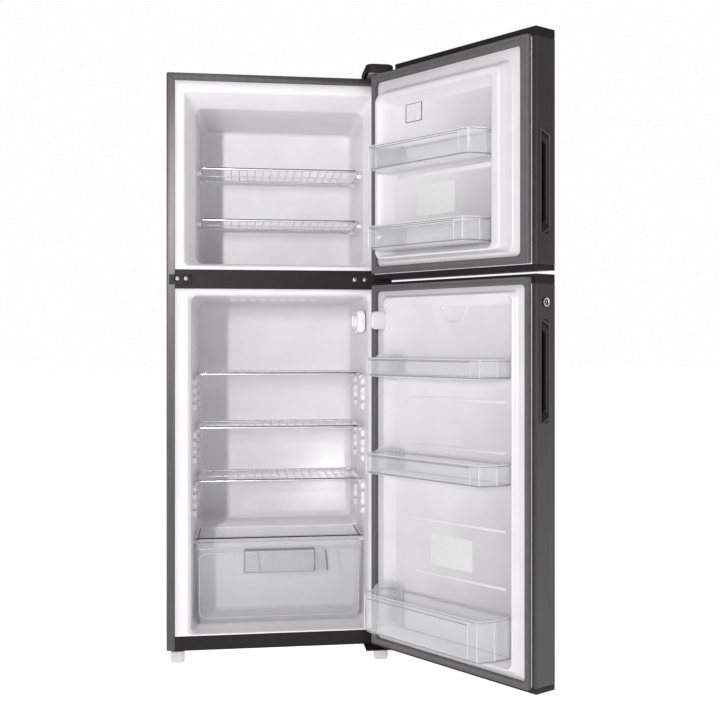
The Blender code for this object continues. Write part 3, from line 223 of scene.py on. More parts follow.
MITRE_LINE = 0.0006
MITRE_REACH = 0.024


def brushed_steel(name, dark, light, along, mitre=False):
    """Dark coated steel, brushed along one axis, with a line at the front's mitred corner if asked."""
    paint = Paint(name)
    fine = [1700.0, 1700.0, 1700.0]
    fine["xyz".index(along)] = 12.0
    coarse = [260.0, 260.0, 260.0]
    coarse["xyz".index(along)] = 2.5
    lines = paint.noise(1.0, 3.0, tuple(fine))
    bands = paint.noise(1.0, 2.0, tuple(coarse))
    tone = paint.blend((lines * 0.75 + bands * 0.25).eased(0.28, 0.72), dark, light)
    if mitre:
        x, y, z = paint.axes()
        corner = (x - SHELL_LOW.x) - (RAIL_LOW.z + HEIGHT - z)
        on_flange = (y < SHELL_LOW.y + 0.001) * (z > RAIL_LOW.z + HEIGHT - MITRE_REACH)
        tone = paint.blend((corner.size() < MITRE_LINE) * on_flange, tone, (0.004, 0.004, 0.004))
    wear = paint.noise(14.0, 4.0)
    return paint.finish(Base_Color=tone, Metallic=0.85, Roughness=0.27 + lines * 0.16 + wear * 0.10,
                        Normal=paint.relief(lines, 0.00004), Anisotropic=0.35)


def painted_steel(name, colour, gloss):
    """Painted sheet with a faint orange peel and dust."""
    paint = Paint(name)
    peel = paint.noise(420.0, 2.0)
    dust = paint.noise(90.0, 5.0)
    lighter = tuple(part * 1.25 + 0.001 for part in colour)
    tone = paint.blend(dust.eased(0.40, 0.80), colour, lighter)
    return paint.finish(Base_Color=tone, Roughness=gloss + dust * 0.15, Normal=paint.relief(peel, 0.00006),
                        Specular_IOR_Level=0.18)


def galvanised_steel():
    """Zinc coated sheet with its spangle."""
    paint = Paint("galvanised_steel")
    spangle = paint.cells(90.0, "Color")
    grain = paint.noise(600.0, 3.0)
    shade = paint.add("ShaderNodeSeparateColor", None, {0: spangle}, "Red")
    tone = paint.blend(shade, (0.36, 0.37, 0.385), (0.56, 0.57, 0.58))
    return paint.finish(Base_Color=tone, Metallic=0.9, Roughness=0.34 + shade * 0.2,
                        Normal=paint.relief(grain, 0.00003))


def plated_wire():
    """Bright plated wire, a little dulled in places."""
    paint = Paint("bright_wire")
    cloud = paint.noise(60.0, 3.0)
    drawn = paint.noise(1.0, 2.0, (90.0, 1400.0, 1400.0))
    tone = paint.blend(cloud, (0.62, 0.63, 0.65), (0.83, 0.84, 0.86))
    return paint.finish(Base_Color=tone, Metallic=0.95, Roughness=0.16 + cloud * 0.14,
                        Normal=paint.relief(drawn, 0.00002))


def coated_wire():
    """Pale coated wire with a soft gloss."""
    paint = Paint("pale_wire_coat")
    cloud = paint.noise(80.0, 3.0)
    tone = paint.blend(cloud, (0.74, 0.74, 0.77), (0.82, 0.82, 0.85))
    return paint.finish(Base_Color=tone, Roughness=0.34 + cloud * 0.16,
                        Normal=paint.relief(cloud, 0.00003))


def liner_plastic(name, colour, low, high):
    """White formed sheet: a faint peel, soft gloss and a shade of tone from place to place."""
    paint = Paint(name)
    peel = paint.noise(210.0, 3.0)
    drawn = paint.noise(9.0, 2.0)
    shaded = tuple(part * 0.955 for part in colour)
    tone = paint.blend(drawn.eased(0.35, 0.65), shaded, colour)
    return paint.finish(Base_Color=tone, Roughness=low + drawn * (high - low),
                        Normal=paint.relief(peel, 0.00005), Coat_Weight=0.25, Coat_Roughness=0.25)


def grained_plastic(name, colour, roughness, grain=900.0, depth=0.00006):
    """Moulded plastic with a fine grain."""
    paint = Paint(name)
    pits = paint.cells(grain)
    cloud = paint.noise(40.0, 3.0)
    lighter = tuple(part * 1.3 + 0.001 for part in colour)
    tone = paint.blend(cloud, colour, lighter)
    return paint.finish(Base_Color=tone, Roughness=roughness + cloud * 0.14, Normal=paint.relief(pits, depth),
                        Specular_IOR_Level=0.28)


def clear_plastic(name, face_alpha, edge_alpha, tint):
    """Clear moulded plastic, denser where it is seen edge on, with faint flow lines."""
    paint = Paint(name)
    glance = paint.add("ShaderNodeLayerWeight", None, {"Blend": 0.35}, "Facing")
    flow = paint.noise(7.0, 2.0)
    scuffs = paint.noise(260.0, 5.0)
    dense = glance.eased(0.25, 0.95) * (edge_alpha - face_alpha) + face_alpha
    return paint.finish(Base_Color=tint, Alpha=dense + flow * 0.05, Roughness=0.07 + scuffs * 0.10,
                        Normal=paint.relief(flow, 0.0001), IOR=1.49, Coat_Weight=0.4, Coat_Roughness=0.05)


def rubber():
    """Grey sealing rubber with a dry bloom."""
    paint = Paint("grey_gasket_rubber")
    bloom = paint.noise(45.0, 4.0)
    grain = paint.noise(1500.0, 2.0)
    tone = paint.blend(bloom.eased(0.3, 0.7), (0.088, 0.085, 0.089), (0.100, 0.097, 0.101))
    return paint.finish(Base_Color=tone, Roughness=0.52 + bloom * 0.2, Normal=paint.relief(grain, 0.00004),
                        Sheen_Weight=0.08)


def foam():
    """Insulating foam with its cells."""
    paint = Paint("insulating_foam")
    cells = paint.cells(420.0)
    cloud = paint.noise(20.0, 4.0)
    tone = paint.blend(cloud, (0.78, 0.765, 0.74), (0.83, 0.815, 0.79))
    return paint.finish(Base_Color=tone, Roughness=0.8 + cloud * 0.15, Normal=paint.relief(cells, 0.0006))


def metal(name, dark, light, roughness, stretch):
    """Bare drawn metal."""
    paint = Paint(name)
    drawn = paint.noise(1.0, 3.0, stretch)
    cloud = paint.noise(30.0, 3.0)
    tone = paint.blend(cloud, dark, light)
    return paint.finish(Base_Color=tone, Metallic=1.0, Roughness=roughness + drawn * 0.2,
                        Normal=paint.relief(drawn, 0.00005))


def milky_plastic(name, colour, alpha):
    """Translucent pale plastic."""
    paint = Paint(name)
    cloud = paint.noise(70.0, 3.0)
    tone = paint.blend(cloud, tuple(part * 0.93 for part in colour), colour)
    return paint.finish(Base_Color=tone, Roughness=0.22 + cloud * 0.18, Alpha=alpha + cloud * 0.08,
                        Normal=paint.relief(cloud, 0.0001), Coat_Weight=0.3)


def label_paper(name, ground, ink, strength, rule):
    """A printed label: pale ground with plain ruled bars and no lettering."""
    paint = Paint(name)
    height = paint.axes()[2]
    bars = ((height * (tau / rule)).wave() > 0.35) * paint.noise(140.0, 2.0).eased(0.42, 0.55)
    tone = paint.blend(bars * strength, ground, ink)
    fibre = paint.noise(800.0, 3.0)
    return paint.finish(Base_Color=tone, Roughness=0.45 + fibre * 0.2, Normal=paint.relief(fibre, 0.00002))


SHELL_STEEL = brushed_steel("dark_brushed_shell", (0.066, 0.060, 0.058), (0.125, 0.117, 0.113), "z",
                            mitre=True)
DOOR_STEEL = brushed_steel("dark_brushed_door", (0.085, 0.077, 0.078), (0.118, 0.108, 0.109), "z")
BLACK_STEEL = painted_steel("black_painted_steel", (0.010, 0.0080, 0.0078), 0.36)
GLOSS_BLACK = painted_steel("gloss_black_steel", (0.006, 0.006, 0.006), 0.10)
ZINC = galvanised_steel()
WIRE = plated_wire()
CABINET_WHITE = liner_plastic("cabinet_liner_white", (0.80, 0.79, 0.82), 0.30, 0.46)
DOOR_WHITE = liner_plastic("door_liner_white", (0.69, 0.68, 0.71), 0.26, 0.42)
FITTING_WHITE = liner_plastic("fitting_white", (0.86, 0.86, 0.88), 0.22, 0.36)
BLACK_PLASTIC = grained_plastic("black_plastic", (0.0095, 0.0080, 0.0082), 0.40)
GRIP_GREY = grained_plastic("grip_frame_grey", (0.050, 0.047, 0.047), 0.34)
RUBBER = rubber()
CLEAR = clear_plastic("clear_plastic", 0.16, 0.62, (0.86, 0.86, 0.90))
CRISPER_CLEAR = clear_plastic("clear_crisper_plastic", 0.12, 0.55, (0.95, 0.95, 0.98))
CLEAR_EDGE = clear_plastic("clear_edge_plastic", 0.36, 0.80, (0.88, 0.88, 0.91))
# A dark grey copy of the clear plastic: painted shade for the dark lines seen along clear edges, rims and ribs
PAINTED_SHADE_EDGE = clear_plastic("painted_shade_edge_plastic", 0.62, 0.88, (0.27, 0.27, 0.30))
GLASS = clear_plastic("clear_glass", 0.06, 0.20, (0.92, 0.95, 0.95))
MILKY = milky_plastic("milky_plastic", (0.66, 0.65, 0.64), 0.84)
KNOB_WHITE = milky_plastic("knob_white", (0.88, 0.88, 0.89), 0.90)
SHELF_COAT = coated_wire()
# Near-black for the painted shade line on top of the shelves' front rods
PAINTED_SHADE_BLACK = grained_plastic("painted_shade_black", (0.012, 0.011, 0.012), 0.45)
FOAM = foam()
COPPER = metal("copper_tube", (0.48, 0.20, 0.10), (0.66, 0.32, 0.18), 0.22, (300.0, 300.0, 20.0))
ALUMINIUM = metal("bright_aluminium", (0.60, 0.61, 0.62), (0.74, 0.75, 0.76), 0.24, (20.0, 300.0, 900.0))


# ---------------------------------------------------------------- making shapes

def rounded(left, right, low, high, radius, steps=6):
    """The points of a rounded rectangle, anticlockwise from its upper right corner."""
    outline = []
    corners = ((right - radius, high - radius, 0), (left + radius, high - radius, 90),
               (left + radius, low + radius, 180), (right - radius, low + radius, 270))
    for across, up, start in corners:
        for step in range(steps + 1):
            angle = radians(start + 90 * step / steps)
            outline.append((across + radius * cos(angle), up + radius * sin(angle)))
    return outline


def eased_corners(points, radius, steps=4, closed=False):
    """Points with each corner turned into a soft curve, seen in the plane or in space."""
    points = [Vector(point) for point in points]
    count = len(points)
    result = []
    for index, corner in enumerate(points):
        if not closed and index in (0, count - 1):
            result.append(corner)
            continue
        before = points[index - 1] - corner
        after = points[(index + 1) % count] - corner
        reach = min(radius, before.length * 0.45, after.length * 0.45)
        start = corner + before.normalized() * reach
        end = corner + after.normalized() * reach
        for step in range(steps + 1):
            share = step / steps
            result.append(start.lerp(corner, share).lerp(corner.lerp(end, share), share))
    return result


def skin_rings(shape, rings, cap_first=False, cap_last=False):
    """Faces between closed rings of points that match one to one."""
    rows = [[shape.verts.new(point) for point in ring] for ring in rings]
    for row, following in zip(rows, rows[1:]):
        for index in range(len(row)):
            after = (index + 1) % len(row)
            shape.faces.new((row[index], row[after], following[after], following[index]))
    if cap_first:
        shape.faces.new(list(reversed(rows[0])))
    if cap_last:
        shape.faces.new(rows[-1])


def sweep(shape, path, profile, closed=False, up=Vector((0, 0, 1))):
    """Carry a closed profile, as (across, up) pairs, along a path."""
    path = [Vector(point) for point in path]
    count = len(path)
    rings = []
    for index, point in enumerate(path):
        before = path[index - 1] if closed or index else point
        after = path[(index + 1) % count] if closed or index < count - 1 else point
        along = (after - before).normalized()
        across = along.cross(up).normalized()
        lift = across.cross(along).normalized()
        rings.append([point + across * u + lift * v for u, v in profile])
    if closed:
        rings.append(rings[0])
    skin_rings(shape, rings, not closed, not closed)
    bmesh.ops.remove_doubles(shape, verts=shape.verts, dist=0.000001)


def round_profile(radius, sides=10):
    """A round section."""
    return [(radius * cos(tau * side / sides), radius * sin(tau * side / sides)) for side in range(sides)]


def standing_circle(x, y, z, radius, steps):
    """The points of a circle that faces along x."""
    return [Vector((x, y + radius * cos(tau * step / steps), z + radius * sin(tau * step / steps)))
            for step in range(steps)]


def wire(shape, path, radius, sides=10, closed=False):
    """A round wire along a path that keeps off the vertical."""
    sweep(shape, path, round_profile(radius, sides), closed)


def block(shape, low, high):
    """A plain box between two corners, to be joined to others."""
    low, high = Vector(low), Vector(high)
    size = high - low
    place = Matrix.Translation((low + high) / 2) @ Matrix.Diagonal((*size, 1.0))
    bmesh.ops.create_cube(shape, size=1.0, matrix=place)


def turned(shape, profile, place, steps, ripple, ripples):
    """A body turned about the vertical at a place, fluted by a ripple."""
    rings = []
    for radius, z in profile:
        ring = []
        for step in range(steps):
            angle = tau * step / steps
            reach = radius + (ripple * cos(ripples * angle) if radius > ripple * 4 else 0.0)
            ring.append(Vector(place) + Vector((reach * cos(angle), reach * sin(angle), z)))
        rings.append(ring)
    skin_rings(shape, rings, True, True)


def piece(name, shape, place, body, finish, slot, stands_for=(), angle=40, edge=0.0, wall=0.0):
    """Finish a shape as a piece that moves with a body."""
    bmesh.ops.remove_doubles(shape, verts=shape.verts, dist=0.000001)
    if not wall:
        bmesh.ops.recalc_face_normals(shape, faces=shape.faces)
    mesh = bpy.data.meshes.new(name)
    shape.to_mesh(mesh)
    shape.free()
    mesh.transform(place)
    mesh.materials.append(finish)
    mesh.shade_smooth()
    mesh.set_sharp_from_angle(angle=radians(angle))
    item = bpy.data.objects.new(name, mesh)
    bpy.context.scene.collection.objects.link(item)
    if wall:
        thick = item.modifiers.new("wall", "SOLIDIFY")
        thick.thickness = wall
        thick.offset = -1.0
        thick.use_even_offset = True
    if edge:
        soft = item.modifiers.new("soft_edges", "BEVEL")
        soft.width = edge
        soft.segments = 2
        soft.limit_method = "ANGLE"
        soft.angle_limit = radians(angle)
        soft.harden_normals = True
    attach(item, body)
    if stands_for:
        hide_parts(*stands_for)


def slot_of(node):
    """The record's slot of a node."""
    for part in frame["record"]["subparts"]:
        if part["node"] == node:
            return part["material_slot"]
    return None


def body_of(node):
    """The body that a node moves with."""
    for body, members in frame["record"]["behaviour"]["bodies"].items():
        if node in members:
            return body
    return None


def eased_node(node, finish, edge):
    """A machined or moulded node with its edges eased, in place of the plain one."""
    shape = bmesh.new()
    shape.from_mesh(NODES[node].data)
    bmesh.ops.remove_doubles(shape, verts=shape.verts, dist=0.000002)
    bmesh.ops.dissolve_limit(shape, angle_limit=radians(0.5), verts=shape.verts, edges=shape.edges)
    piece(node + "_eased", shape, Matrix.Identity(4), body_of(node), finish, slot_of(node), (node,), 35, edge)


def paint_nodes(finish, *names):
    """Give CAD nodes a finish."""
    for name in names:
        mesh = NODES[name].data
        mesh.materials.clear()
        mesh.materials.append(finish)


# ---------------------------------------------------------------- cabinet

def make_cabinet():
    """The shell, its rails, back and base, and the hinges."""
    eased_node("cabinet_shell", SHELL_STEEL, 0.0006)
    eased_node("bottom_rail", BLACK_STEEL, 0.0006)
    eased_node("mullion", BLACK_STEEL, 0.0006)
    eased_node("mullion_blank_plate", GLOSS_BLACK, 0.0004)
    eased_node("middle_hinge_bracket", BLACK_STEEL, 0.0004)
    eased_node("bottom_hinge_bracket", BLACK_STEEL, 0.0004)
    eased_node("compressor_plate", BLACK_STEEL, 0.0004)
    paint_nodes(ZINC, "back_panel", "base_sheet", "top_hinge_bracket")
    paint_nodes(FOAM, "cabinet_foam", "freezer_door_foam", "fridge_door_foam")
    eased_node("compressor", BLACK_STEEL, 0.0)
    eased_node("drain_tray", BLACK_PLASTIC, 0.0)
    eased_node("condenser_coil", COPPER, 0.0)
    paint_nodes(ALUMINIUM, "evaporator")
    paint_nodes(BLACK_PLASTIC, "evaporator_fan")
    for side in ("left", "right"):
        eased_node("rear_roller_" + side, BLACK_PLASTIC, 0.0006)


def make_screws():
    """Domed cross-head screws in the plates of the mullion."""
    for which in ("outer_left", "inner_left", "inner_right", "outer_right"):
        node = "mullion_screw_" + which
        low, high = box_in(CABINET, node)
        centre = (low + high) / 2
        radius = (high.z - low.z) / 2
        shape = bmesh.new()
        rings = []
        for share, rise in ((1.0, 0.0), (1.0, 0.45), (0.86, 0.78), (0.55, 0.97), (0.30, 1.0)):
            y = high.y - rise * (high.y - low.y)
            rings.append([Vector((centre.x + radius * share * cos(tau * step / 24), y,
                                  centre.z + radius * share * sin(tau * step / 24))) for step in range(24)])
        skin_rings(shape, rings, True, True)
        piece(node + "_head", shape, CABINET, "cabinet", ZINC, "galvanised_steel", (node,))
        # A black cross on the head's dome stands for the cross recess: painted shade in place of a cut recess
        cross = bmesh.new()
        arm = radius * 0.5
        slot_half = radius * 0.12
        slot_depth = 0.0004
        face = low.y - 0.0001
        for across, up in ((arm, slot_half), (slot_half, arm)):
            block(cross, (centre.x - across, face, centre.z - up),
                  (centre.x + across, face + slot_depth, centre.z + up))
        piece(node + "_recess", cross, CABINET, "cabinet", BLACK_PLASTIC, "black_plastic")


def make_top_hinge_cover():
    """The moulded cap over the top hinge, with round ends."""
    low, high = box_in(CABINET, "top_hinge_cover")
    end_radius = 0.018
    shoulder = ((0.0, low.z), (0.0, high.z - 0.006), (0.0006, high.z - 0.0035), (0.0022, high.z - 0.0012),
                (0.0045, high.z - 0.0002), (0.008, high.z))
    shape = bmesh.new()
    rings = []
    for inset, z in shoulder:
        outline = rounded(low.x + inset, high.x - inset, low.y + inset, high.y - inset, end_radius - inset, 8)
        rings.append([Vector((x, y, z)) for x, y in outline])
    skin_rings(shape, rings, False, True)
    piece("top_hinge_cap", shape, CABINET, "cabinet", BLACK_PLASTIC, "black_plastic", ("top_hinge_cover",))


def make_feet():
    """The fluted levelling feet."""
    for side in ("left", "right"):
        node = "front_foot_" + side
        low, high = box_in(CABINET, node)
        centre = (low + high) / 2
        radius = (high.x - low.x) / 2
        flutes, flute_depth = 24, radius * 0.035
        profile = [(radius * 0.5, high.z), (radius * 0.90, high.z - 0.0006), (radius * 0.96, high.z - 0.003),
                   (radius * 0.96, low.z + 0.007), (radius * 0.90, low.z + 0.0055),
                   (radius * 0.90, low.z + 0.0035), (radius * 0.88, low.z + 0.001), (radius * 0.84, low.z),
                   (radius * 0.4, low.z)]
        shape = bmesh.new()
        turned(shape, profile, (centre.x, centre.y, 0.0), flutes * 4, flute_depth, flutes)
        piece(node + "_fluted", shape, CABINET, "cabinet", MILKY, "milky_plastic", (node,), 50)


# ---------------------------------------------------------------- liners

def ring_of(section, steps=8):
    """The upright ring of a section: left, right, low, high, corner radius, y."""
    left, right, low, high, radius, y = section
    return [Vector((x, y, z)) for x, z in rounded(left, right, low, high, radius, steps)]


def between(first, second, share):
    """A section part of the way from one to another."""
    return tuple(a + (b - a) * share for a, b in zip(first, second))


def softened_sections(sections, reach, steps=3):
    """Sections with a soft turn at each one but the first and the last."""
    result = [sections[0]]
    for before, here, after in zip(sections, sections[1:], sections[2:]):
        back = hypot(here[0] - before[0], here[5] - before[5], here[3] - before[3]) or 1.0
        ahead = hypot(after[0] - here[0], after[5] - here[5], after[3] - here[3]) or 1.0
        start = between(here, before, min(0.45, reach / back))
        end = between(here, after, min(0.45, reach / ahead))
        for step in range(steps + 1):
            share = step / steps
            result.append(between(between(start, here, share), between(here, end, share), share))
    result.append(sections[-1])
    return result


def make_liner(node, sections, reach):
    """A compartment's formed liner with soft turns, in place of the plain one."""
    shape = bmesh.new()
    rings = [ring_of(section) for section in softened_sections(sections, reach)]
    skin_rings(shape, rings, False, True)
    piece(node + "_moulding", shape, CABINET, "cabinet", CABINET_WHITE, "white_liner_plastic", (node,), 75,
          wall=FORMED_SHEET)


# Sizes of the two liners that the frame's boxes don't give
FLANGE_IN = 0.0203
TURN = 0.012
FREEZER_LOW, FREEZER_HIGH = box_in(CABINET, "freezer_liner")
FRIDGE_LOW, FRIDGE_HIGH = box_in(CABINET, "fridge_liner")
LINER_SHEET = 0.0015
FORMED_SHEET = 0.0014
FREEZER_FLOOR = FREEZER_LOW.z + 0.0177
FREEZER_CEILING = FREEZER_HIGH.z - 0.0557
FREEZER_SIDE = 0.067
THROAT_Y = 0.060
FREEZER_BACK = FREEZER_HIGH.y - LINER_SHEET
FRIDGE_FLOOR = 0.040
FRIDGE_CEILING = FRIDGE_HIGH.z - 0.0167
FRIDGE_SIDE = 0.0578
FRIDGE_BACK = FRIDGE_HIGH.y - LINER_SHEET
FRIDGE_LIP = 0.010
DRAFT = 0.0175
FREEZER_DRAFT = DRAFT * 0.1
STEP_FRONT = 0.262
STEP_BACK = 0.272
STEP_TOP = 0.256


def fridge_wall_at(y):
    """Where the fridge compartment's left wall stands at a depth."""
    return FRIDGE_SIDE + DRAFT * (y - FRIDGE_LIP)


def freezer_wall_at(y):
    """Where the freezer compartment's left wall stands at a depth."""
    return FREEZER_SIDE + FREEZER_DRAFT * (y - THROAT_Y) / (FREEZER_BACK - THROAT_Y)


def make_freezer_liner():
    """The freezer's liner: flange, sloped throat and box."""
    rear = FREEZER_SIDE + FREEZER_DRAFT
    front_low, front_high = FREEZER_LOW.z, FREEZER_HIGH.z
    sections = [
        (FLANGE_IN, WIDTH - FLANGE_IN, front_low, front_high, 0.002, 0.0),
        (0.040, WIDTH - 0.040, front_low + 0.0077, front_high - 0.0217, TURN, 0.0),
        (0.044, WIDTH - 0.044, front_low + 0.0107, front_high - 0.0257, TURN, 0.004),
        (FREEZER_SIDE, WIDTH - FREEZER_SIDE, FREEZER_FLOOR, FREEZER_CEILING, 0.017, THROAT_Y),
        (rear, WIDTH - rear, FREEZER_FLOOR + FREEZER_DRAFT, FREEZER_CEILING - FREEZER_DRAFT, 0.020,
         FREEZER_BACK - TURN),
        (rear + TURN, WIDTH - rear - TURN, FREEZER_FLOOR + TURN, FREEZER_CEILING - TURN, TURN, FREEZER_BACK),
    ]
    make_liner("freezer_liner", sections, 0.004)


def make_fridge_liner():
    """The fridge's liner, with the step over the machine compartment."""
    rear_y = FRIDGE_BACK - TURN

    def wall(y, low, inset=0.0):
        side = fridge_wall_at(y) + inset
        fall = DRAFT * (y - FRIDGE_LIP) + inset
        return (side, WIDTH - side, low + inset, FRIDGE_CEILING - fall, 0.015 if inset == 0.0 else TURN, y)

    sections = [
        (FLANGE_IN, WIDTH - FLANGE_IN, FRIDGE_LOW.z, FRIDGE_HIGH.z, 0.002, 0.0),
        (0.050, WIDTH - 0.050, FRIDGE_FLOOR - 0.0018, FRIDGE_CEILING + 0.006, TURN, 0.0),
        wall(FRIDGE_LIP, FRIDGE_FLOOR),
        wall(STEP_FRONT, FRIDGE_FLOOR + 0.002),
        wall(STEP_BACK, STEP_TOP),
        wall(rear_y, STEP_TOP + 0.001),
        wall(rear_y, STEP_TOP + 0.001, TURN)[:5] + (FRIDGE_BACK,),
    ]
    make_liner("fridge_liner", sections, 0.0030)


def low_dome(shape, outline, root, normal, rise, steps=5):
    """A soft raised form on a wall: an outline in space that closes over its middle."""
    middle = sum(outline, Vector()) / len(outline)
    rings = [[root_point - normal * 0.001 for root_point in outline]]
    for step in range(steps + 1):
        angle = pi / 2 * step / steps
        share = 1 - root * (1 - cos(angle))
        rings.append([middle + (point - middle) * share + normal * rise * sin(angle) for point in outline])
    skin_rings(shape, rings, True, True)


def make_wall_supports():
    """The round-over-wedge shelf supports that stand in pairs up the side walls."""
    shelves = ("fridge_shelf_lower", "fridge_shelf_middle", "fridge_shelf_upper")
    levels = [box_in(CABINET, name) for name in shelves]
    spacing = 0.0665
    between_columns = 0.165
    knob_radius, knob_up = 0.0115, 0.012
    proud = 0.009
    lowest = levels[0][0].z - spacing
    count = int((levels[-1][1].z + 0.06 - lowest) / spacing)
    front = levels[0][0].y + 0.012
    shape = bmesh.new()
    for index in range(count):
        z = lowest + index * spacing
        if any(low.z - 0.022 < z < high.z + 0.016 for low, high in levels):
            z -= 0.026
        for y in (front, front + between_columns):
            for side in (-1, 1):
                wall_x = fridge_wall_at(y) if side < 0 else WIDTH - fridge_wall_at(y)
                normal = Vector((-side, 0, 0))
                knob = standing_circle(wall_x, y, z + knob_up, knob_radius, 24)
                low_dome(shape, knob, 0.30, normal, proud)
                wedge = eased_corners([(wall_x, y - 0.015, z - 0.003), (wall_x, y + 0.015, z - 0.003),
                                       (wall_x, y + 0.005, z - 0.020), (wall_x, y - 0.005, z - 0.020)],
                                      0.004, 3, True)
                low_dome(shape, wedge, 0.4, normal, proud)
    piece("wall_supports", shape, CABINET, "cabinet", CABINET_WHITE, "white_liner_plastic", (), 50)


def make_shelf_rests():
    """The ledges on both walls that the shelves stand on."""
    shelves = (("freezer_shelf_lower", freezer_wall_at), ("freezer_shelf_upper", freezer_wall_at),
               ("fridge_shelf_lower", fridge_wall_at), ("fridge_shelf_middle", fridge_wall_at),
               ("fridge_shelf_upper", fridge_wall_at), ("crisper_shelf_trim", fridge_wall_at))
    shape = bmesh.new()
    for node, wall_at in shelves:
        low, high = box_in(CABINET, node)
        top = low.z - 0.0004
        for y in (low.y + 0.035, high.y - 0.035):
            for side in (-1, 1):
                wall_x = wall_at(y) if side < 0 else WIDTH - wall_at(y)
                normal = Vector((-side, 0, 0))
                rest = eased_corners([(wall_x, y - 0.011, top), (wall_x, y + 0.011, top),
                                      (wall_x, y + 0.006, top - 0.010), (wall_x, y - 0.006, top - 0.010)],
                                     0.003, 3, True)
                low_dome(shape, rest, 0.25, normal, 0.0105)
    piece("shelf_rests", shape, CABINET, "cabinet", FITTING_WHITE, "white_liner_plastic", (), 50)


def make_air_outlet():
    """The slotted air outlet in the fridge compartment's ceiling."""
    y_front, y_back = 0.150, 0.240
    left, right = MIDDLE - 0.130, MIDDLE + 0.100
    count = 9
    pitch = (right - left) / count
    ceiling = FRIDGE_CEILING - DRAFT * (y_front - FRIDGE_LIP)
    shape = bmesh.new()
    for index in range(count):
        x = left + pitch * (index + 0.5)
        bar = [Vector((px, py, ceiling - DRAFT * (py - y_front) + 0.0005))
               for px, py in rounded(x - pitch * 0.32, x + pitch * 0.32, y_front, y_back, 0.004, 3)]
        low_dome(shape, bar, 0.2, Vector((0, 0, -1)), 0.0035)
    piece("air_outlet", shape, CABINET, "cabinet", FITTING_WHITE, "white_liner_plastic", (), 50)


def make_evaporator_cover():
    """The white panel before the cooling coil, with its slots and the cove around it."""
    eased_node("evaporator_cover", CABINET_WHITE, 0.0008)
    low, high = box_in(CABINET, "evaporator_cover")
    corner = 0.020
    cove = bmesh.new()
    rings = []
    for inset, ahead in ((-0.0030, 0.0110), (-0.0016, 0.0100), (-0.0002, 0.0065), (0.0018, 0.0030),
                         (0.0050, 0.0008), (0.0095, 0.0000), (0.0120, -0.0012)):
        rings.append(ring_of((low.x + inset, high.x - inset, low.z + inset, high.z - inset, corner,
                              low.y - ahead)))
    skin_rings(cove, rings)
    piece("evaporator_cover_cove", cove, CABINET, "cabinet", CABINET_WHITE, "white_liner_plastic", (), 60)


# ---------------------------------------------------------------- shelves

def make_wire_shelf(node):
    """A shelf of coated wires on a cross rod, in a plated rod frame, with a painted shade line along the front
    rod.
    """
    low, high = box_in(CABINET, node)
    frame_radius = 0.0028
    wire_radius = 0.0010
    cross_radius = 0.0020
    least_spacing = 0.0200
    z = high.z - frame_radius
    left, right = low.x + frame_radius, high.x - frame_radius
    front, back = low.y + frame_radius, high.y - frame_radius
    shape = bmesh.new()
    corners = [(left, front, z), (right, front, z), (right, back, z), (left, back, z)]
    wire(shape, eased_corners(corners, 0.012, 5, True), frame_radius, 12, True)
    count = int((high.x - low.x - least_spacing) / least_spacing)
    pitch = (high.x - low.x) / (count + 1)
    wires = bmesh.new()
    for index in range(count):
        x = low.x + pitch * (index + 1)
        wire(wires, [(x, front, z + 0.0006), (x, low.y + 0.006, z + 0.0011),
                     (x, high.y - 0.006, z + 0.0011), (x, back, z + 0.0006)], wire_radius, 8)
    y = low.y + (high.y - low.y) * 0.5
    wire(wires, [(left, y, z - cross_radius), (right, y, z - cross_radius)], cross_radius, 8)
    piece(node + "_frame", shape, CABINET, body_of(node), WIRE, "bright_wire", (node,), 60)
    piece(node + "_wires", wires, CABINET, body_of(node), SHELF_COAT, "bright_wire", (), 60)
    # A near-black line on top of the front rod: painted shade along the rod's top edge
    shade_line = bmesh.new()
    shade_line_z = z + frame_radius * 0.86
    wire(shade_line, [(low.x + 0.010, low.y + 0.0010, shade_line_z), (high.x - 0.010, low.y + 0.0010, shade_line_z)], 0.0009, 8)
    piece(node + "_front_seam", shade_line, CABINET, body_of(node), PAINTED_SHADE_BLACK, "bright_wire", (), 60)


def make_shelves():
    """All the wire shelves and the glass shelf."""
    for node in ("freezer_shelf_lower", "freezer_shelf_upper", "fridge_shelf_lower", "fridge_shelf_middle",
                 "fridge_shelf_upper"):
        make_wire_shelf(node)
    eased_node("crisper_shelf_trim", CLEAR, 0.0010)
    eased_node("crisper_shelf_glass", GLASS, 0.0004)
    low, high = box_in(CABINET, "crisper_shelf_trim")
    # Dark lines along the front and sides of the glass shelf: painted shade for the dark look of its clear edges
    line = bmesh.new()
    line_y, line_z = low.y + 0.0004, high.z - 0.0010
    wire(line, [(low.x + 0.002, line_y, line_z), (high.x - 0.002, line_y, line_z)], 0.0015, 8)
    piece("glass_shelf_front_line", line, CABINET, "crisper_shelf", BLACK_PLASTIC, "black_plastic", (), 60)
    edges = bmesh.new()
    for x in (low.x + 0.008, high.x - 0.008):
        wire(edges, [(x, low.y + 0.004, high.z - 0.0004), (x, high.y - 0.004, high.z - 0.0004)], 0.0011, 8)
    piece("glass_shelf_side_lines", edges, CABINET, "crisper_shelf", BLACK_PLASTIC, "black_plastic", (), 60)


# ---------------------------------------------------------------- crisper

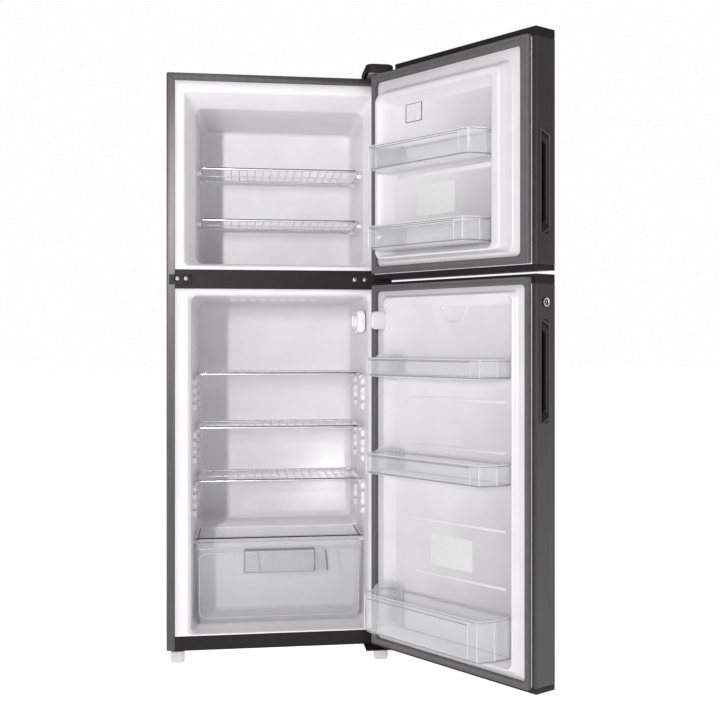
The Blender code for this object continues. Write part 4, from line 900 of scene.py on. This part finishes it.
def make_crisper():
    """The clear crisper drawer: tub, raised outline, lip and hooded grip."""
    low, high = box_in(CABINET, "crisper_drawer")
    hood_reach = 0.012
    front = low.y + hood_reach
    taper = 0.008
    tub = bmesh.new()
    rings = []
    for inset, front_in, radius, z in (
        (0.0, 0.0, 0.010, high.z), (0.0, 0.0, 0.010, high.z - 0.004),
        (taper * 0.5, 0.0005, 0.011, (low.z + high.z) / 2), (taper, 0.001, 0.012, low.z + 0.014),
        (taper + 0.0018, 0.0022, 0.013, low.z + 0.006), (taper + 0.006, 0.006, 0.012, low.z + 0.0014),
        (taper + 0.012, 0.012, 0.010, low.z),
    ):
        outline = rounded(low.x + inset, high.x - inset, front + front_in, high.y - inset, radius, 6)
        rings.append([Vector((x, y, z)) for x, y in outline])
    skin_rings(tub, rings, False, True)
    bmesh.ops.reverse_faces(tub, faces=tub.faces)
    piece("crisper_tub", tub, CABINET, "crisper", CRISPER_CLEAR, "clear_plastic", ("crisper_drawer",), 60,
          wall=0.0022)

    rim_wall = bmesh.new()
    rings = []
    rim_top = box_in(CABINET, "crisper_shelf_trim")[0].z - 0.003
    for y in (front - 0.0002, front + 0.0022):
        outline = rounded(low.x + 0.004, high.x - 0.004, high.z - 0.006, rim_top, 0.004, 4)
        rings.append([Vector((x, y, z)) for x, z in outline])
    skin_rings(rim_wall, rings, True, True)
    piece("crisper_front_rim", rim_wall, CABINET, "crisper", CRISPER_CLEAR, "clear_plastic", (), 50, 0.0006)

    line = bmesh.new()
    inset, drop = 0.011, 0.013
    outline = rounded(low.x + inset, high.x - inset, low.z + 0.014, high.z - drop, 0.018, 8)
    path = [Vector((x, front - 0.0004, z)) for x, z in outline]
    ridge = [(-0.0011, -0.0012), (0.0011, -0.0012), (0.0007, 0.0010), (-0.0007, 0.0010)]
    sweep(line, path, ridge, True, Vector((0, -1, 0)))
    piece("crisper_front_outline", line, CABINET, "crisper", CLEAR_EDGE, "clear_plastic", (), 60)

    lip = bmesh.new()
    corners = rounded(low.x + 0.001, high.x - 0.001, front + 0.0005, high.y - 0.001, 0.010, 6)
    wire(lip, [Vector((x, y, high.z - 0.0014)) for x, y in corners], 0.0017, 8, True)
    piece("crisper_lip", lip, CABINET, "crisper", CLEAR_EDGE, "clear_plastic", (), 60)

    grip_half, grip_height, grip_corner = 0.088, 0.058, 0.004
    left, right = MIDDLE - grip_half, MIDDLE + grip_half
    top = high.z - 0.006
    bottom = top - grip_height
    hood = bmesh.new()
    rings = []
    for y, grow in ((front - 0.0006, 0.0), (low.y + 0.003, -0.0004), (low.y + 0.0008, -0.0014),
                    (low.y, -0.0035)):
        outline = rounded(left + grow, right + grow, bottom - grow, top + grow, grip_corner, 4)
        rings.append([Vector((x, y, z)) for x, z in outline])
    skin_rings(hood, rings, False, True)
    piece("crisper_grip_hood", hood, CABINET, "crisper", CLEAR, "clear_plastic", (), 50, wall=0.0016)
    # A dark line round the grip's outline, in the dark clear plastic: painted shade
    rim = bmesh.new()
    outline = rounded(left, right, bottom, top, grip_corner, 4)
    wire(rim, [Vector((x, front - 0.0012, z)) for x, z in outline], 0.0010, 8, True)
    piece("crisper_grip_rim", rim, CABINET, "crisper", PAINTED_SHADE_EDGE, "clear_plastic", (), 60)
    # A dark line along the grip's top edge: painted shadow under the hood's brow
    brow = bmesh.new()
    brow_y, brow_z = low.y + 0.0012, top - 0.001
    wire(brow, [(left + 0.003, brow_y, brow_z), (right - 0.003, brow_y, brow_z)], 0.0012, 8)
    piece("crisper_grip_brow_shadow", brow, CABINET, "crisper", PAINTED_SHADE_EDGE, "clear_plastic", (), 60)
    # Two raised slanted ribs on the crisper's front, darkened with painted shade
    ribs = bmesh.new()
    for x in (left + 0.032, right + 0.026):
        tall = [(x, front - 0.001, top - 0.004), (x + 0.004, front - 0.003, top - 0.026),
                (x + 0.006, front - 0.001, bottom + 0.002)]
        wire(ribs, eased_corners(tall, 0.01, 4), 0.0017, 8)
    piece("crisper_front_ribs", ribs, CABINET, "crisper", PAINTED_SHADE_EDGE, "clear_plastic", (), 60)


# ---------------------------------------------------------------- lamp and thermostat

def make_lamp_housing():
    """The lamp and thermostat housing, its slotted lens, knob and switch."""
    low, high = box_in(CABINET, "lamp_housing")
    middle_z = (low.z + high.z) / 2
    half_height = (high.z - low.z) / 2
    largest_turn = 0.009
    # How far back from the front end, then the shares of the height and of the width
    swell = ((0.0, 0.62, 0.62), (0.0012, 0.78, 0.82), (0.0045, 0.90, 0.94), (0.011, 0.97, 1.0),
             (0.030, 1.0, 1.0), (0.118, 1.0, 1.0), (0.140, 0.94, 0.93), (0.147, 0.84, 0.72),
             (0.150, 0.70, 0.40))
    pillow = bmesh.new()
    rings = []
    for along, height, reach in swell:
        rise = half_height * height
        width = (high.x - low.x) * reach
        turn = min(largest_turn, width * 0.45)
        outline = rounded(high.x - width, high.x, middle_z - rise, middle_z + rise, turn, 5)
        rings.append([Vector((x, low.y + along, z)) for x, z in outline])
    skin_rings(pillow, rings, True, True)
    bmesh.ops.recalc_face_normals(pillow, faces=pillow.faces)
    piece("lamp_housing_cover", pillow, CABINET, "cabinet", FITTING_WHITE, "white_liner_plastic",
          ("lamp_housing",), 50)
    lens_low, lens_high = box_in(CABINET, "lamp_lens")
    slot_half = 0.0016
    slots = bmesh.new()
    for index in range(7):
        y = lens_low.y + 0.006 + index * (lens_high.y - lens_low.y - 0.012) / 6
        block(slots, (low.x - 0.0006, y - slot_half, low.z + 0.012),
              (low.x + 0.0004, y + slot_half, high.z - 0.012))
    piece("lamp_lens_slots", slots, CABINET, "cabinet", MILKY, "milky_plastic", (), 50, 0.0004)
    eased_node("lamp_lens", MILKY, 0.0004)
    eased_node("lamp_switch", FITTING_WHITE, 0.0008)
    low, high = box_in(CABINET, "thermostat_knob")
    centre = (low + high) / 2
    radius = (high.y - low.y) / 2
    shape = bmesh.new()
    rings = []
    face = low.x + 0.004
    for share, x in ((0.96, face + 0.008), (1.0, face + 0.0065), (1.0, face + 0.0015), (0.96, face + 0.0004),
                     (0.88, face), (0.30, face + 0.0002)):
        ring = standing_circle(x, 0.0, centre.z, radius * share, 48)
        for step, point in enumerate(ring):
            point.y = centre.y + radius * share * cos(tau * step / 48) * (1 + 0.012 * cos(tau * step / 2))
        rings.append(ring)
    skin_rings(shape, rings, True, True)
    piece("thermostat_dial", shape, CABINET, "thermostat_knob", KNOB_WHITE, "milky_plastic",
          ("thermostat_knob",), 50)
    ridge = bmesh.new()
    ridge_half, ridge_reach = 0.0025, radius * 0.84
    bar = [Vector((face + 0.0006, y, z)) for y, z in
           rounded(centre.y - ridge_half, centre.y + ridge_half, centre.z - ridge_reach,
                   centre.z + ridge_reach, 0.0024, 5)]
    low_dome(ridge, bar, 0.25, Vector((-1, 0, 0)), 0.0042)
    piece("thermostat_dial_ridge", ridge, CABINET, "thermostat_knob", KNOB_WHITE, "milky_plastic", (), 50)
    marks = bmesh.new()
    mark_circle = radius * 1.12
    mark_half = Vector((0.0004, 0.0008, 0.0008))
    for index in range(7):
        angle = radians(-120 + 40 * index)
        point = Vector((face + 0.0081, centre.y + mark_circle * sin(angle),
                        centre.z + mark_circle * cos(angle)))
        block(marks, point - mark_half, point + mark_half)
    piece("thermostat_marks", marks, CABINET, "cabinet", GRIP_GREY, "white_liner_plastic")


# ---------------------------------------------------------------- doors

DOORS = {"freezer_door": FREEZER_DOOR, "fridge_door": FRIDGE_DOOR}
DOOR_BACK = box_in(FREEZER_DOOR, "freezer_door_skin")[1].y
FREEZER_BORDER_LOW, FREEZER_BORDER_HIGH = box_in(FREEZER_DOOR, "freezer_door_liner")
FRIDGE_BORDER_LOW, FRIDGE_BORDER_HIGH = box_in(FRIDGE_DOOR, "fridge_door_liner")
DOOR_SHEET = 0.0012
FRIDGE_DOOR_RIBS = (0.217, 0.340, 0.508, 0.618)


def make_door_skins():
    """The folded skins, their end caps and the edge lines down the free side."""
    for body, place in DOORS.items():
        skin = body + "_skin"
        eased_node(skin, DOOR_STEEL, 0.0007)
        for cap in ("_top_cap", "_bottom_cap"):
            eased_node(body + cap, BLACK_PLASTIC, 0.0010)
        low, high = box_in(place, skin)
        trim = bmesh.new()
        for y in (low.y + 0.0032, high.y - 0.0032):
            block(trim, (-0.0005, y - 0.0007, low.z + 0.001), (0.0008, y + 0.0007, high.z - 0.001))
        piece(body + "_edge_lines", trim, place, body, GRIP_GREY, "dark_brushed_steel", (), 40, 0.0004)


def liner_on_door(name, node, place, body, sections, reach):
    """A door's inner panel, formed with soft turns."""
    raised = [section[:5] + (DOOR_BACK + section[5],) for section in sections]
    shape = bmesh.new()
    rings = [ring_of(section) for section in softened_sections(raised, reach)]
    skin_rings(shape, rings, False, True)
    bmesh.ops.reverse_faces(shape, faces=shape.faces)
    piece(name, shape, place, body, DOOR_WHITE, "white_liner_plastic", (node,), 75, wall=DOOR_SHEET)


def make_freezer_door_panel():
    """The freezer door's inner panel: border, free-side wall, raised surround and middle ridge."""
    low, high = FREEZER_BORDER_LOW.z, FREEZER_BORDER_HIGH.z
    edge = FREEZER_BORDER_LOW.x
    foot_low, foot_high = FREEZER_FLOOR - 0.008, HEIGHT - 0.029
    hill_low, hill_high = FREEZER_FLOOR + 0.003, FREEZER_CEILING + 0.010
    rise = 0.036
    sections = [
        (edge, WIDTH - edge, low, high, 0.002, 0.0),
        (0.040, WIDTH - 0.028, foot_low, foot_high, 0.016, 0.0),
        (0.041, WIDTH - 0.029, foot_low + 0.001, foot_high - 0.001, 0.016, 0.001),
        (0.066, WIDTH - 0.046, foot_low + 0.008, foot_high - 0.020, 0.020, 0.002),
        (0.074, WIDTH - 0.058, hill_low, hill_high, 0.020, rise),
        (0.098, WIDTH - 0.065, hill_low + 0.005, hill_high - 0.012, 0.016, rise),
        (0.104, WIDTH - 0.096, hill_low + 0.013, hill_high - 0.030, 0.014, 0.006),
    ]
    liner_on_door("freezer_door_panel", "freezer_door_liner", FREEZER_DOOR, "freezer_door", sections, 0.0045)
    face = DOOR_BACK + 0.006
    upper_low = box_in(FREEZER_DOOR, "freezer_bin_upper")[0]
    ridge = bmesh.new()
    z = upper_low.z - 0.014
    ridge_half = 0.006
    bar = [Vector((x, face, height)) for x, height in
           rounded(0.112, WIDTH - 0.106, z - ridge_half, z + ridge_half, 0.0055, 5)]
    low_dome(ridge, bar, 0.5, Vector((0, 1, 0)), 0.006)
    for bin_name in ("freezer_bin_upper", "freezer_bin_lower"):
        bin_high = box_in(FREEZER_DOOR, bin_name)[1]
        for x in (0.118, WIDTH - 0.118):
            lug = [Vector((px, face, pz)) for px, pz in
                   rounded(x - 0.008, x + 0.008, bin_high.z - 0.034, bin_high.z - 0.012, 0.006, 4)]
            low_dome(ridge, lug, 0.3, Vector((0, 1, 0)), 0.0015)
    piece("freezer_door_ridge", ridge, FREEZER_DOOR, "freezer_door", DOOR_WHITE, "white_liner_plastic", (),
          60)


def make_fridge_door_panel():
    """The fridge door's inner panel with its low surround, pairs of ribs and half-round mark."""
    low, high = FRIDGE_BORDER_LOW.z, FRIDGE_BORDER_HIGH.z
    edge = FRIDGE_BORDER_LOW.x
    foot_low, foot_high = FRIDGE_FLOOR - 0.006, FRIDGE_CEILING + 0.007
    sections = [
        (edge, WIDTH - edge, low, high, 0.002, 0.0),
        (0.026, WIDTH - 0.028, foot_low, foot_high, 0.012, 0.0),
        (0.027, WIDTH - 0.029, foot_low + 0.001, foot_high - 0.001, 0.012, 0.001),
        (0.048, WIDTH - 0.052, foot_low + 0.009, foot_high - 0.010, 0.014, 0.004),
        (0.056, WIDTH - 0.0605, foot_low + 0.014, foot_high - 0.014, 0.016, 0.014),
        (0.0595, WIDTH - 0.067, foot_low + 0.017, foot_high - 0.018, 0.016, 0.014),
        (0.0625, WIDTH - 0.096, foot_low + 0.022, foot_high - 0.036, 0.014, 0.004),
    ]
    liner_on_door("fridge_door_panel", "fridge_door_liner", FRIDGE_DOOR, "fridge_door", sections, 0.0035)
    face = DOOR_BACK + 0.004
    inward = Vector((0, 1, 0))
    ribs = bmesh.new()
    rib_half = 0.0030
    for z in FRIDGE_DOOR_RIBS:
        bar = [Vector((x, face, height)) for x, height in
               rounded(0.085, WIDTH - 0.150, z - rib_half, z + rib_half, 0.0028, 4)]
        low_dome(ribs, bar, 0.5, inward, 0.0011)
    arch_x, arch_z, arch = MIDDLE - 0.028, foot_high - 0.036, 0.040
    turns = [pi + pi * step / 24 for step in range(25)]
    arc = [Vector((arch_x + arch * cos(turn), face + 0.0004, arch_z + arch * sin(turn))) for turn in turns]
    sweep(ribs, arc, round_profile(0.0019, 8), False, inward)
    piece("fridge_door_ribs", ribs, FRIDGE_DOOR, "fridge_door", DOOR_WHITE, "white_liner_plastic", (), 60)

    tab_height, tab_front = 0.042, 0.0422
    z_low = box_in(CABINET, "lamp_housing")[0].z + 0.008
    tab = bmesh.new()
    rings = []
    for inset, x in ((0.0020, WIDTH - 0.0720), (0.0006, WIDTH - 0.0712), (0.0, WIDTH - 0.0700),
                     (0.0, WIDTH - 0.0635), (0.0006, WIDTH - 0.0623), (0.0020, WIDTH - 0.0615)):
        outline = rounded(DOOR_BACK + 0.010, tab_front - inset, z_low + inset, z_low + tab_height - inset,
                          0.013, 7)
        rings.append([Vector((x, y, z)) for y, z in outline])
    skin_rings(tab, rings, True, True)
    piece("switch_tab", tab, FRIDGE_DOOR, "fridge_door", DOOR_WHITE, "white_liner_plastic", (), 50)


def make_gaskets():
    """The magnetic seals: a foot, a soft bellows and a flat face."""
    for body, place in DOORS.items():
        node = body + "_gasket"
        low, high = box_in(place, node)
        points = [place.inverted() @ vertex.co for vertex in NODES[node].data.vertices]
        inner_x = [point.x for point in points if low.x + 0.001 < point.x < high.x - 0.001]
        inner_z = [point.z for point in points if low.z + 0.001 < point.z < high.z - 0.001]
        inside_left, inside_right = min(inner_x), max(inner_x)
        inside_low, inside_high = min(inner_z), max(inner_z)
        depth = high.y - low.y
        section = ((0.0, 0.0), (0.02, 0.30), (0.10, 0.34), (0.10, 0.46), (0.03, 0.52), (0.03, 0.88),
                   (0.07, 0.98), (0.30, 1.0), (0.34, 0.93), (0.40, 0.93), (0.44, 1.0), (0.80, 1.0),
                   (0.90, 0.96), (0.97, 0.84), (0.97, 0.50), (0.90, 0.44), (0.90, 0.32), (0.98, 0.28),
                   (1.0, 0.0))
        shape = bmesh.new()
        rings = []
        for share, rise in section:
            left = low.x + (inside_left - low.x) * share
            right = high.x + (inside_right - high.x) * share
            bottom = low.z + (inside_low - low.z) * share
            top = high.z + (inside_high - high.z) * share
            radius = 0.004 + 0.008 * share
            rings.append(ring_of((left, right, bottom, top, radius, low.y + depth * rise), 5))
        rings.append(rings[0])
        skin_rings(shape, rings)
        piece(node + "_bellows", shape, place, body, RUBBER, "grey_gasket_rubber", (node,), 50)


def make_grips():
    """The finger pockets in the doors' free edges, each in a bevelled grey frame."""
    for body, place in DOORS.items():
        node = body + "_grip"
        eased_node(node, BLACK_PLASTIC, 0.0005)
        low, high = box_in(place, node)
        shape = bmesh.new()
        slant = 0.012
        rings = []
        for x, grow, tip in ((0.0004, 0.0030, 0.0), (-0.0010, 0.0026, 0.0), (-0.0012, 0.0016, 0.0),
                             (-0.0004, -0.0006, 0.0), (0.0060, -0.0030, 0.010), (0.0170, -0.0046, 0.014)):
            near, far = low.y - grow, high.y + grow
            foot, head = low.z - grow, high.z + grow
            corners = [(x, near, foot + slant + tip), (x, far, foot + tip), (x, far, head - tip),
                       (x, near, head - slant - tip)]
            rings.append(eased_corners(corners, 0.003, 3, True))
        skin_rings(shape, rings[:4])
        piece(node + "_frame", shape, place, body, GRIP_GREY, "black_plastic", (), 50, wall=0.0008)
        inner = bmesh.new()
        skin_rings(inner, rings[3:])
        piece(node + "_lining", inner, place, body, BLACK_PLASTIC, "black_plastic", (), 50, wall=0.0006)


def make_lock():
    """The key lock: a dark barrel in a bright ring."""
    place = FRIDGE_DOOR
    low, high = box_in(place, "door_lock")
    centre = (low + high) / 2
    radius = (high.z - low.z) / 2
    barrel = bmesh.new()
    rings = []
    for share, x in ((0.98, high.x), (0.98, low.x + 0.0008), (0.94, low.x), (0.62, low.x),
                     (0.58, low.x + 0.0012), (0.30, low.x + 0.0012)):
        rings.append(standing_circle(x, centre.y, centre.z, radius * share, 40))
    skin_rings(barrel, rings, True, True)
    piece("door_lock_barrel", barrel, place, "door_lock", BLACK_PLASTIC, "bright_wire", ("door_lock",), 50)
    ring = bmesh.new()
    rings = []
    for share, x in ((0.96, low.x + 0.0006), (0.96, low.x - 0.0005), (0.88, low.x - 0.0009),
                     (0.72, low.x - 0.0006), (0.66, low.x + 0.0003), (0.66, low.x + 0.0008)):
        rings.append(standing_circle(x, centre.y, centre.z, radius * share, 40))
    skin_rings(ring, rings)
    piece("door_lock_ring", ring, place, "door_lock", WIRE, "bright_wire", (), 50, wall=0.0004)
    slot = bmesh.new()
    block(slot, (low.x + 0.0008, centre.y - 0.0006, centre.z - radius * 0.42),
          (low.x + 0.0016, centre.y + 0.0006, centre.z + radius * 0.42))
    piece("door_lock_slot", slot, place, "door_lock", WIRE, "bright_wire", (), 40, 0.0002)


# ---------------------------------------------------------------- door bins

BIN_CORNER_ACROSS = 0.015
BIN_CORNER_DEEP = 0.039
BIN_SHEET = 0.0020
BIN_SWELL = ((1.0, 0.0), (0.9, 0.0002), (0.5, 0.0014), (0.12, 0.0026), (0.05, 0.0036), (0.012, 0.0058),
             (0.0, 0.0090))
BIN_VALUES = {"freezer": (0.0405, 0.104), "fridge": (0.0175, 0.101)}


def bin_plan(low, high, kind, inset=0.0):
    """A door bin in plan, with soft corners, clear of the rise along the hinge side."""
    step, slope_end = BIN_VALUES[kind]
    front = high.y - inset
    near, far = low.x + inset, high.x - inset
    points = [(low.x, low.y, 0), (near, front - BIN_CORNER_DEEP, 0), (near + BIN_CORNER_ACROSS, front, 0),
              (far - BIN_CORNER_ACROSS, front, 0), (far, front - BIN_CORNER_DEEP, 0),
              (high.x, DOOR_BACK + step, 0), (WIDTH - slope_end, low.y, 0)]
    return eased_corners(points, 0.009, 4, True)


BIN_BRACKET_RISE = {"freezer_bin_lower": 0.005, "freezer_bin_upper": 0.005, "fridge_bin_lower": 0.013,
                    "fridge_bin_middle": 0.008, "fridge_bin_upper": 0.008}


def make_bin(node, place, body, kind):
    """A clear door bin: tub, thick lip, ribs, a row of feet and a raised wall at its hinge end."""
    low, high = box_in(place, node)
    bin_height = high.z - low.z
    tub = bmesh.new()
    rings = []
    for share, inset in BIN_SWELL:
        z = low.z + bin_height * share
        rings.append([Vector((point.x, point.y, z)) for point in bin_plan(low, high, kind, inset)])
    skin_rings(tub, rings, False, True)
    piece(node + "_tub", tub, place, body, CLEAR, "clear_plastic", (node,), 60, wall=BIN_SHEET)

    lip = bmesh.new()
    outline = [Vector((point.x, point.y, high.z - 0.0012)) for point in bin_plan(low, high, kind, 0.0006)]
    sweep(lip, outline, [(-0.0014, -0.0016), (0.0014, -0.0016), (0.0014, 0.0012), (-0.0014, 0.0012)], True)
    piece(node + "_lip", lip, place, body, CLEAR_EDGE, "clear_plastic", (), 60)

    # Dark lines along the bin's foot and just under its lip, in the dark clear plastic: painted shade of its edges
    lower = bmesh.new()
    outline = [Vector((point.x, point.y, low.z + 0.0042)) for point in bin_plan(low, high, kind, 0.0032)]
    sweep(lower, outline, round_profile(0.0013, 6), True)
    outline = [Vector((point.x, point.y, high.z - 0.0036)) for point in bin_plan(low, high, kind, 0.0002)]
    sweep(lower, outline, round_profile(0.0008, 6), True)
    piece(node + "_lower_edge", lower, place, body, PAINTED_SHADE_EDGE, "clear_plastic", (), 60)

    ribs = bmesh.new()
    front = high.y
    inner_left = low.x + BIN_CORNER_ACROSS + 0.030
    inner_right = high.x - BIN_CORNER_ACROSS - 0.012
    ends = (low.x + BIN_CORNER_ACROSS + 0.002, low.x + 0.0022, high.x - BIN_CORNER_ACROSS - 0.002)
    depths = (front - 0.0006, front - BIN_CORNER_DEEP + 0.0006, front - 0.0006)
    for x, y in zip(ends, depths):
        wire(ribs, [(x, y, low.z + 0.006), (x + 0.0001, y, high.z - 0.002)], 0.0013, 8)
    wire(ribs, [(inner_left, front - 0.0008, low.z + bin_height * 0.12),
                (inner_left + 0.0001, front - 0.0008, low.z + bin_height * 0.92)], 0.0012, 8)
    piece(node + "_ribs", ribs, place, body, CLEAR_EDGE, "clear_plastic", (), 60)

    # A dark line across the bin's front, in the dark clear plastic: painted shade
    line = bmesh.new()
    z = low.z + bin_height * 0.86
    wire(line, [(inner_left, front - 0.0006, z), (inner_right, front - 0.0006, z + 0.00001)], 0.0009, 6)
    piece(node + "_front_line", line, place, body, PAINTED_SHADE_EDGE, "clear_plastic", (), 60)

    feet = bmesh.new()
    pitch = 0.015
    foot_half = 0.0035
    for index in range(int((inner_right - inner_left) / pitch)):
        x = inner_left + pitch * (index + 0.5)
        block(feet, (x - foot_half, front - 0.0120, low.z - 0.0002),
              (x + foot_half, front - 0.0090, low.z + 0.0014))
    piece(node + "_feet", feet, place, body, CLEAR_EDGE, "clear_plastic", (), 40, 0.0004)

    plan = bin_plan(low, high, kind, 0.0012)
    corner = max(plan, key=lambda point: point.x)
    rear_end = max((point for point in plan if point.y < low.y + 0.004), key=lambda point: point.x)
    front_end = max((point for point in plan if point.y > high.y - BIN_CORNER_DEEP - 0.004),
                    key=lambda point: point.x)
    rise = BIN_BRACKET_RISE[node]
    ribbon = ((Vector((rear_end.x - 0.040, rear_end.y + 0.0006, 0.0)), 0.0),
              (Vector((rear_end.x - 0.032, rear_end.y + 0.0006, 0.0)), 0.92), (rear_end, 1.0), (corner, 1.0),
              (corner.lerp(front_end, 0.6), 0.75), (front_end, 0.15))
    bracket = bmesh.new()
    rows = []
    for point, share in ribbon:
        rows.append((bracket.verts.new((point.x, point.y, low.z + 0.006)),
                     bracket.verts.new((point.x, point.y, high.z - 0.001 + rise * share))))
    for before, after in zip(rows, rows[1:]):
        bracket.faces.new((before[0], after[0], after[1], before[1]))
    piece(node + "_bracket", bracket, place, body, CLEAR, "clear_plastic", (), 50, wall=0.0016)
    crest = bmesh.new()
    path = [Vector((point.x, point.y, high.z - 0.001 + rise * share)) for point, share in ribbon]
    wire(crest, path, 0.0011, 6)
    piece(node + "_bracket_edge", crest, place, body, CLEAR_EDGE, "clear_plastic", (), 50)


def make_bins():
    """All the door bins."""
    for node in ("freezer_bin_lower", "freezer_bin_upper"):
        make_bin(node, FREEZER_DOOR, "freezer_door", "freezer")
    for node in ("fridge_bin_lower", "fridge_bin_middle", "fridge_bin_upper"):
        make_bin(node, FRIDGE_DOOR, "fridge_door", "fridge")


# ---------------------------------------------------------------- labels

def label(name, body, left, right, low, high, face, finish):
    """A thin printed label stuck on a door's inner panel."""
    shape = bmesh.new()
    rings = []
    for inset, rise in ((0.0, 0.0), (0.0, 0.00025), (0.0003, 0.0003)):
        outline = rounded(left + inset, right - inset, low + inset, high - inset, 0.002, 4)
        rings.append([Vector((x, face + rise, z)) for x, z in outline])
    skin_rings(shape, rings, True, True)
    piece(name, shape, DOORS[body], body, finish, "white_liner_plastic", (), 50)


def make_labels():
    """The labels inside the doors, ruled with plain bars only."""
    face = DOOR_BACK + 0.006
    grey_rules = label_paper("care_label", (0.74, 0.73, 0.75), (0.45, 0.42, 0.43), 0.5, 0.0045)
    green_rules = label_paper("green_label", (0.680, 0.692, 0.680), (0.60, 0.63, 0.61), 0.6, 0.0040)
    outline_ink = label_paper("label_outline", (0.05, 0.045, 0.05), (0.08, 0.07, 0.08), 0.5, 0.0045)
    left, low = WIDTH - 0.194, box_in(FREEZER_DOOR, "freezer_bin_upper")[1].z + 0.055
    label("freezer_care_label_outline", "freezer_door", left, left + 0.058, low, low + 0.044, face,
          outline_ink)
    label("freezer_care_label", "freezer_door", left + 0.0026, left + 0.0554, low + 0.0018, low + 0.0422,
          face + 0.0002, grey_rules)
    left, low = WIDTH - 0.305, box_in(FREEZER_DOOR, "freezer_bin_lower")[1].z + 0.022
    label("freezer_green_label", "freezer_door", left, left + 0.130, low, low + 0.070, face, green_rules)
    face = DOOR_BACK + 0.004
    left, low = WIDTH - 0.360, box_in(FRIDGE_DOOR, "fridge_bin_lower")[1].z + 0.075
    label("fridge_green_label", "fridge_door", left, left + 0.135, low, low + 0.070, face, green_rules)


# ---------------------------------------------------------------- stage

EYE = Vector((0.179, -2.871, 0.749))
EYE_TURN = -8.7
FILM = 36.0
LENS = 58.3
ACROSS_SHIFT = -0.0833
UP_SHIFT = -0.0264
SURROUNDINGS = 0.215
KEY_POWER = 122.0
FILL_POWER = 5.0
TOP_POWER = 16.0
FLOOR_GLOW = 0.80
FLOOR_REACH = 30.0
FLOOR_DROP = 0.0005


def add_camera():
    """The camera, level and a little left of square to the doors' opening."""
    lens = bpy.data.cameras.new("camera")
    lens.sensor_width = FILM
    lens.lens = LENS
    lens.shift_x = ACROSS_SHIFT
    lens.shift_y = UP_SHIFT
    camera = bpy.data.objects.new("camera", lens)
    bpy.context.scene.collection.objects.link(camera)
    camera.location = CABINET @ EYE
    camera.rotation_euler = (radians(90), 0.0, radians(EYE_TURN))
    bpy.context.scene.camera = camera


def add_light(name, place, aim, width, height, power, colour=(1.0, 1.0, 1.0)):
    """A soft rectangular light turned towards a point."""
    lamp = bpy.data.lights.new(name, "AREA")
    lamp.shape = "RECTANGLE"
    lamp.size = width
    lamp.size_y = height
    lamp.energy = power
    lamp.color = colour
    item = bpy.data.objects.new(name, lamp)
    bpy.context.scene.collection.objects.link(item)
    item.location = place
    item.rotation_euler = (Vector(aim) - Vector(place)).to_track_quat("-Z", "Y").to_euler()


def add_stage():
    """The pale floor, the white surroundings and the lights."""
    paint = Paint("studio_floor")
    cloud = paint.noise(1.2, 2.0)
    floor_finish = paint.finish(Base_Color=paint.blend(cloud, (0.93, 0.93, 0.935), (0.955, 0.955, 0.96)),
                                Roughness=0.75 + cloud * 0.1, Specular_IOR_Level=0.2,
                                Emission_Color=(1.0, 1.0, 1.0), Emission_Strength=FLOOR_GLOW)
    shape = bmesh.new()
    reach = FLOOR_REACH
    corners = [(-reach, -reach, 0), (reach, -reach, 0), (reach, reach, 0), (-reach, reach, 0)]
    shape.faces.new([shape.verts.new(corner) for corner in corners])
    mesh = bpy.data.meshes.new("studio_floor")
    shape.to_mesh(mesh)
    shape.free()
    mesh.materials.append(floor_finish)
    floor = bpy.data.objects.new("studio_floor", mesh)
    bpy.context.scene.collection.objects.link(floor)
    floor.location.z = -FLOOR_DROP

    world = bpy.data.worlds.new("studio")
    bpy.context.scene.world = world
    world.use_nodes = True
    background = world.node_tree.nodes["Background"]
    background.inputs["Color"].default_value = (0.975, 0.975, 1.0, 1.0)
    background.inputs["Strength"].default_value = SURROUNDINGS
    backdrop = world.node_tree.nodes.new("ShaderNodeBackground")
    backdrop.inputs["Color"].default_value = (0.985, 0.985, 0.99, 1.0)
    path = world.node_tree.nodes.new("ShaderNodeLightPath")
    choice = world.node_tree.nodes.new("ShaderNodeMixShader")
    links = world.node_tree.links
    links.new(path.outputs["Is Camera Ray"], choice.inputs[0])
    links.new(background.outputs[0], choice.inputs[1])
    links.new(backdrop.outputs[0], choice.inputs[2])
    links.new(choice.outputs[0], world.node_tree.nodes["World Output"].inputs["Surface"])
    add_light("key_light", (-1.36, -4.85, 1.25), (-0.15, 0.1, 0.75), 0.17, 0.6, KEY_POWER,
              (1.0, 0.985, 0.975))
    add_light("fill_light", (1.6, -3.2, 2.0), (0.0, 0.0, 0.7), 2.0, 1.6, FILL_POWER)
    add_light("top_light", (-0.2, -1.2, 3.4), (0.0, 0.0, 0.6), 2.6, 2.0, TOP_POWER)
    bpy.context.scene.view_settings.view_transform = "Standard"


make_cabinet()
make_screws()
make_top_hinge_cover()
make_feet()
make_freezer_liner()
make_fridge_liner()
make_wall_supports()
make_shelf_rests()
make_air_outlet()
make_evaporator_cover()
make_shelves()
make_crisper()
make_lamp_housing()
make_door_skins()
make_freezer_door_panel()
make_fridge_door_panel()
make_gaskets()
make_grips()
make_lock()
make_bins()
make_labels()
add_camera()
add_stage()
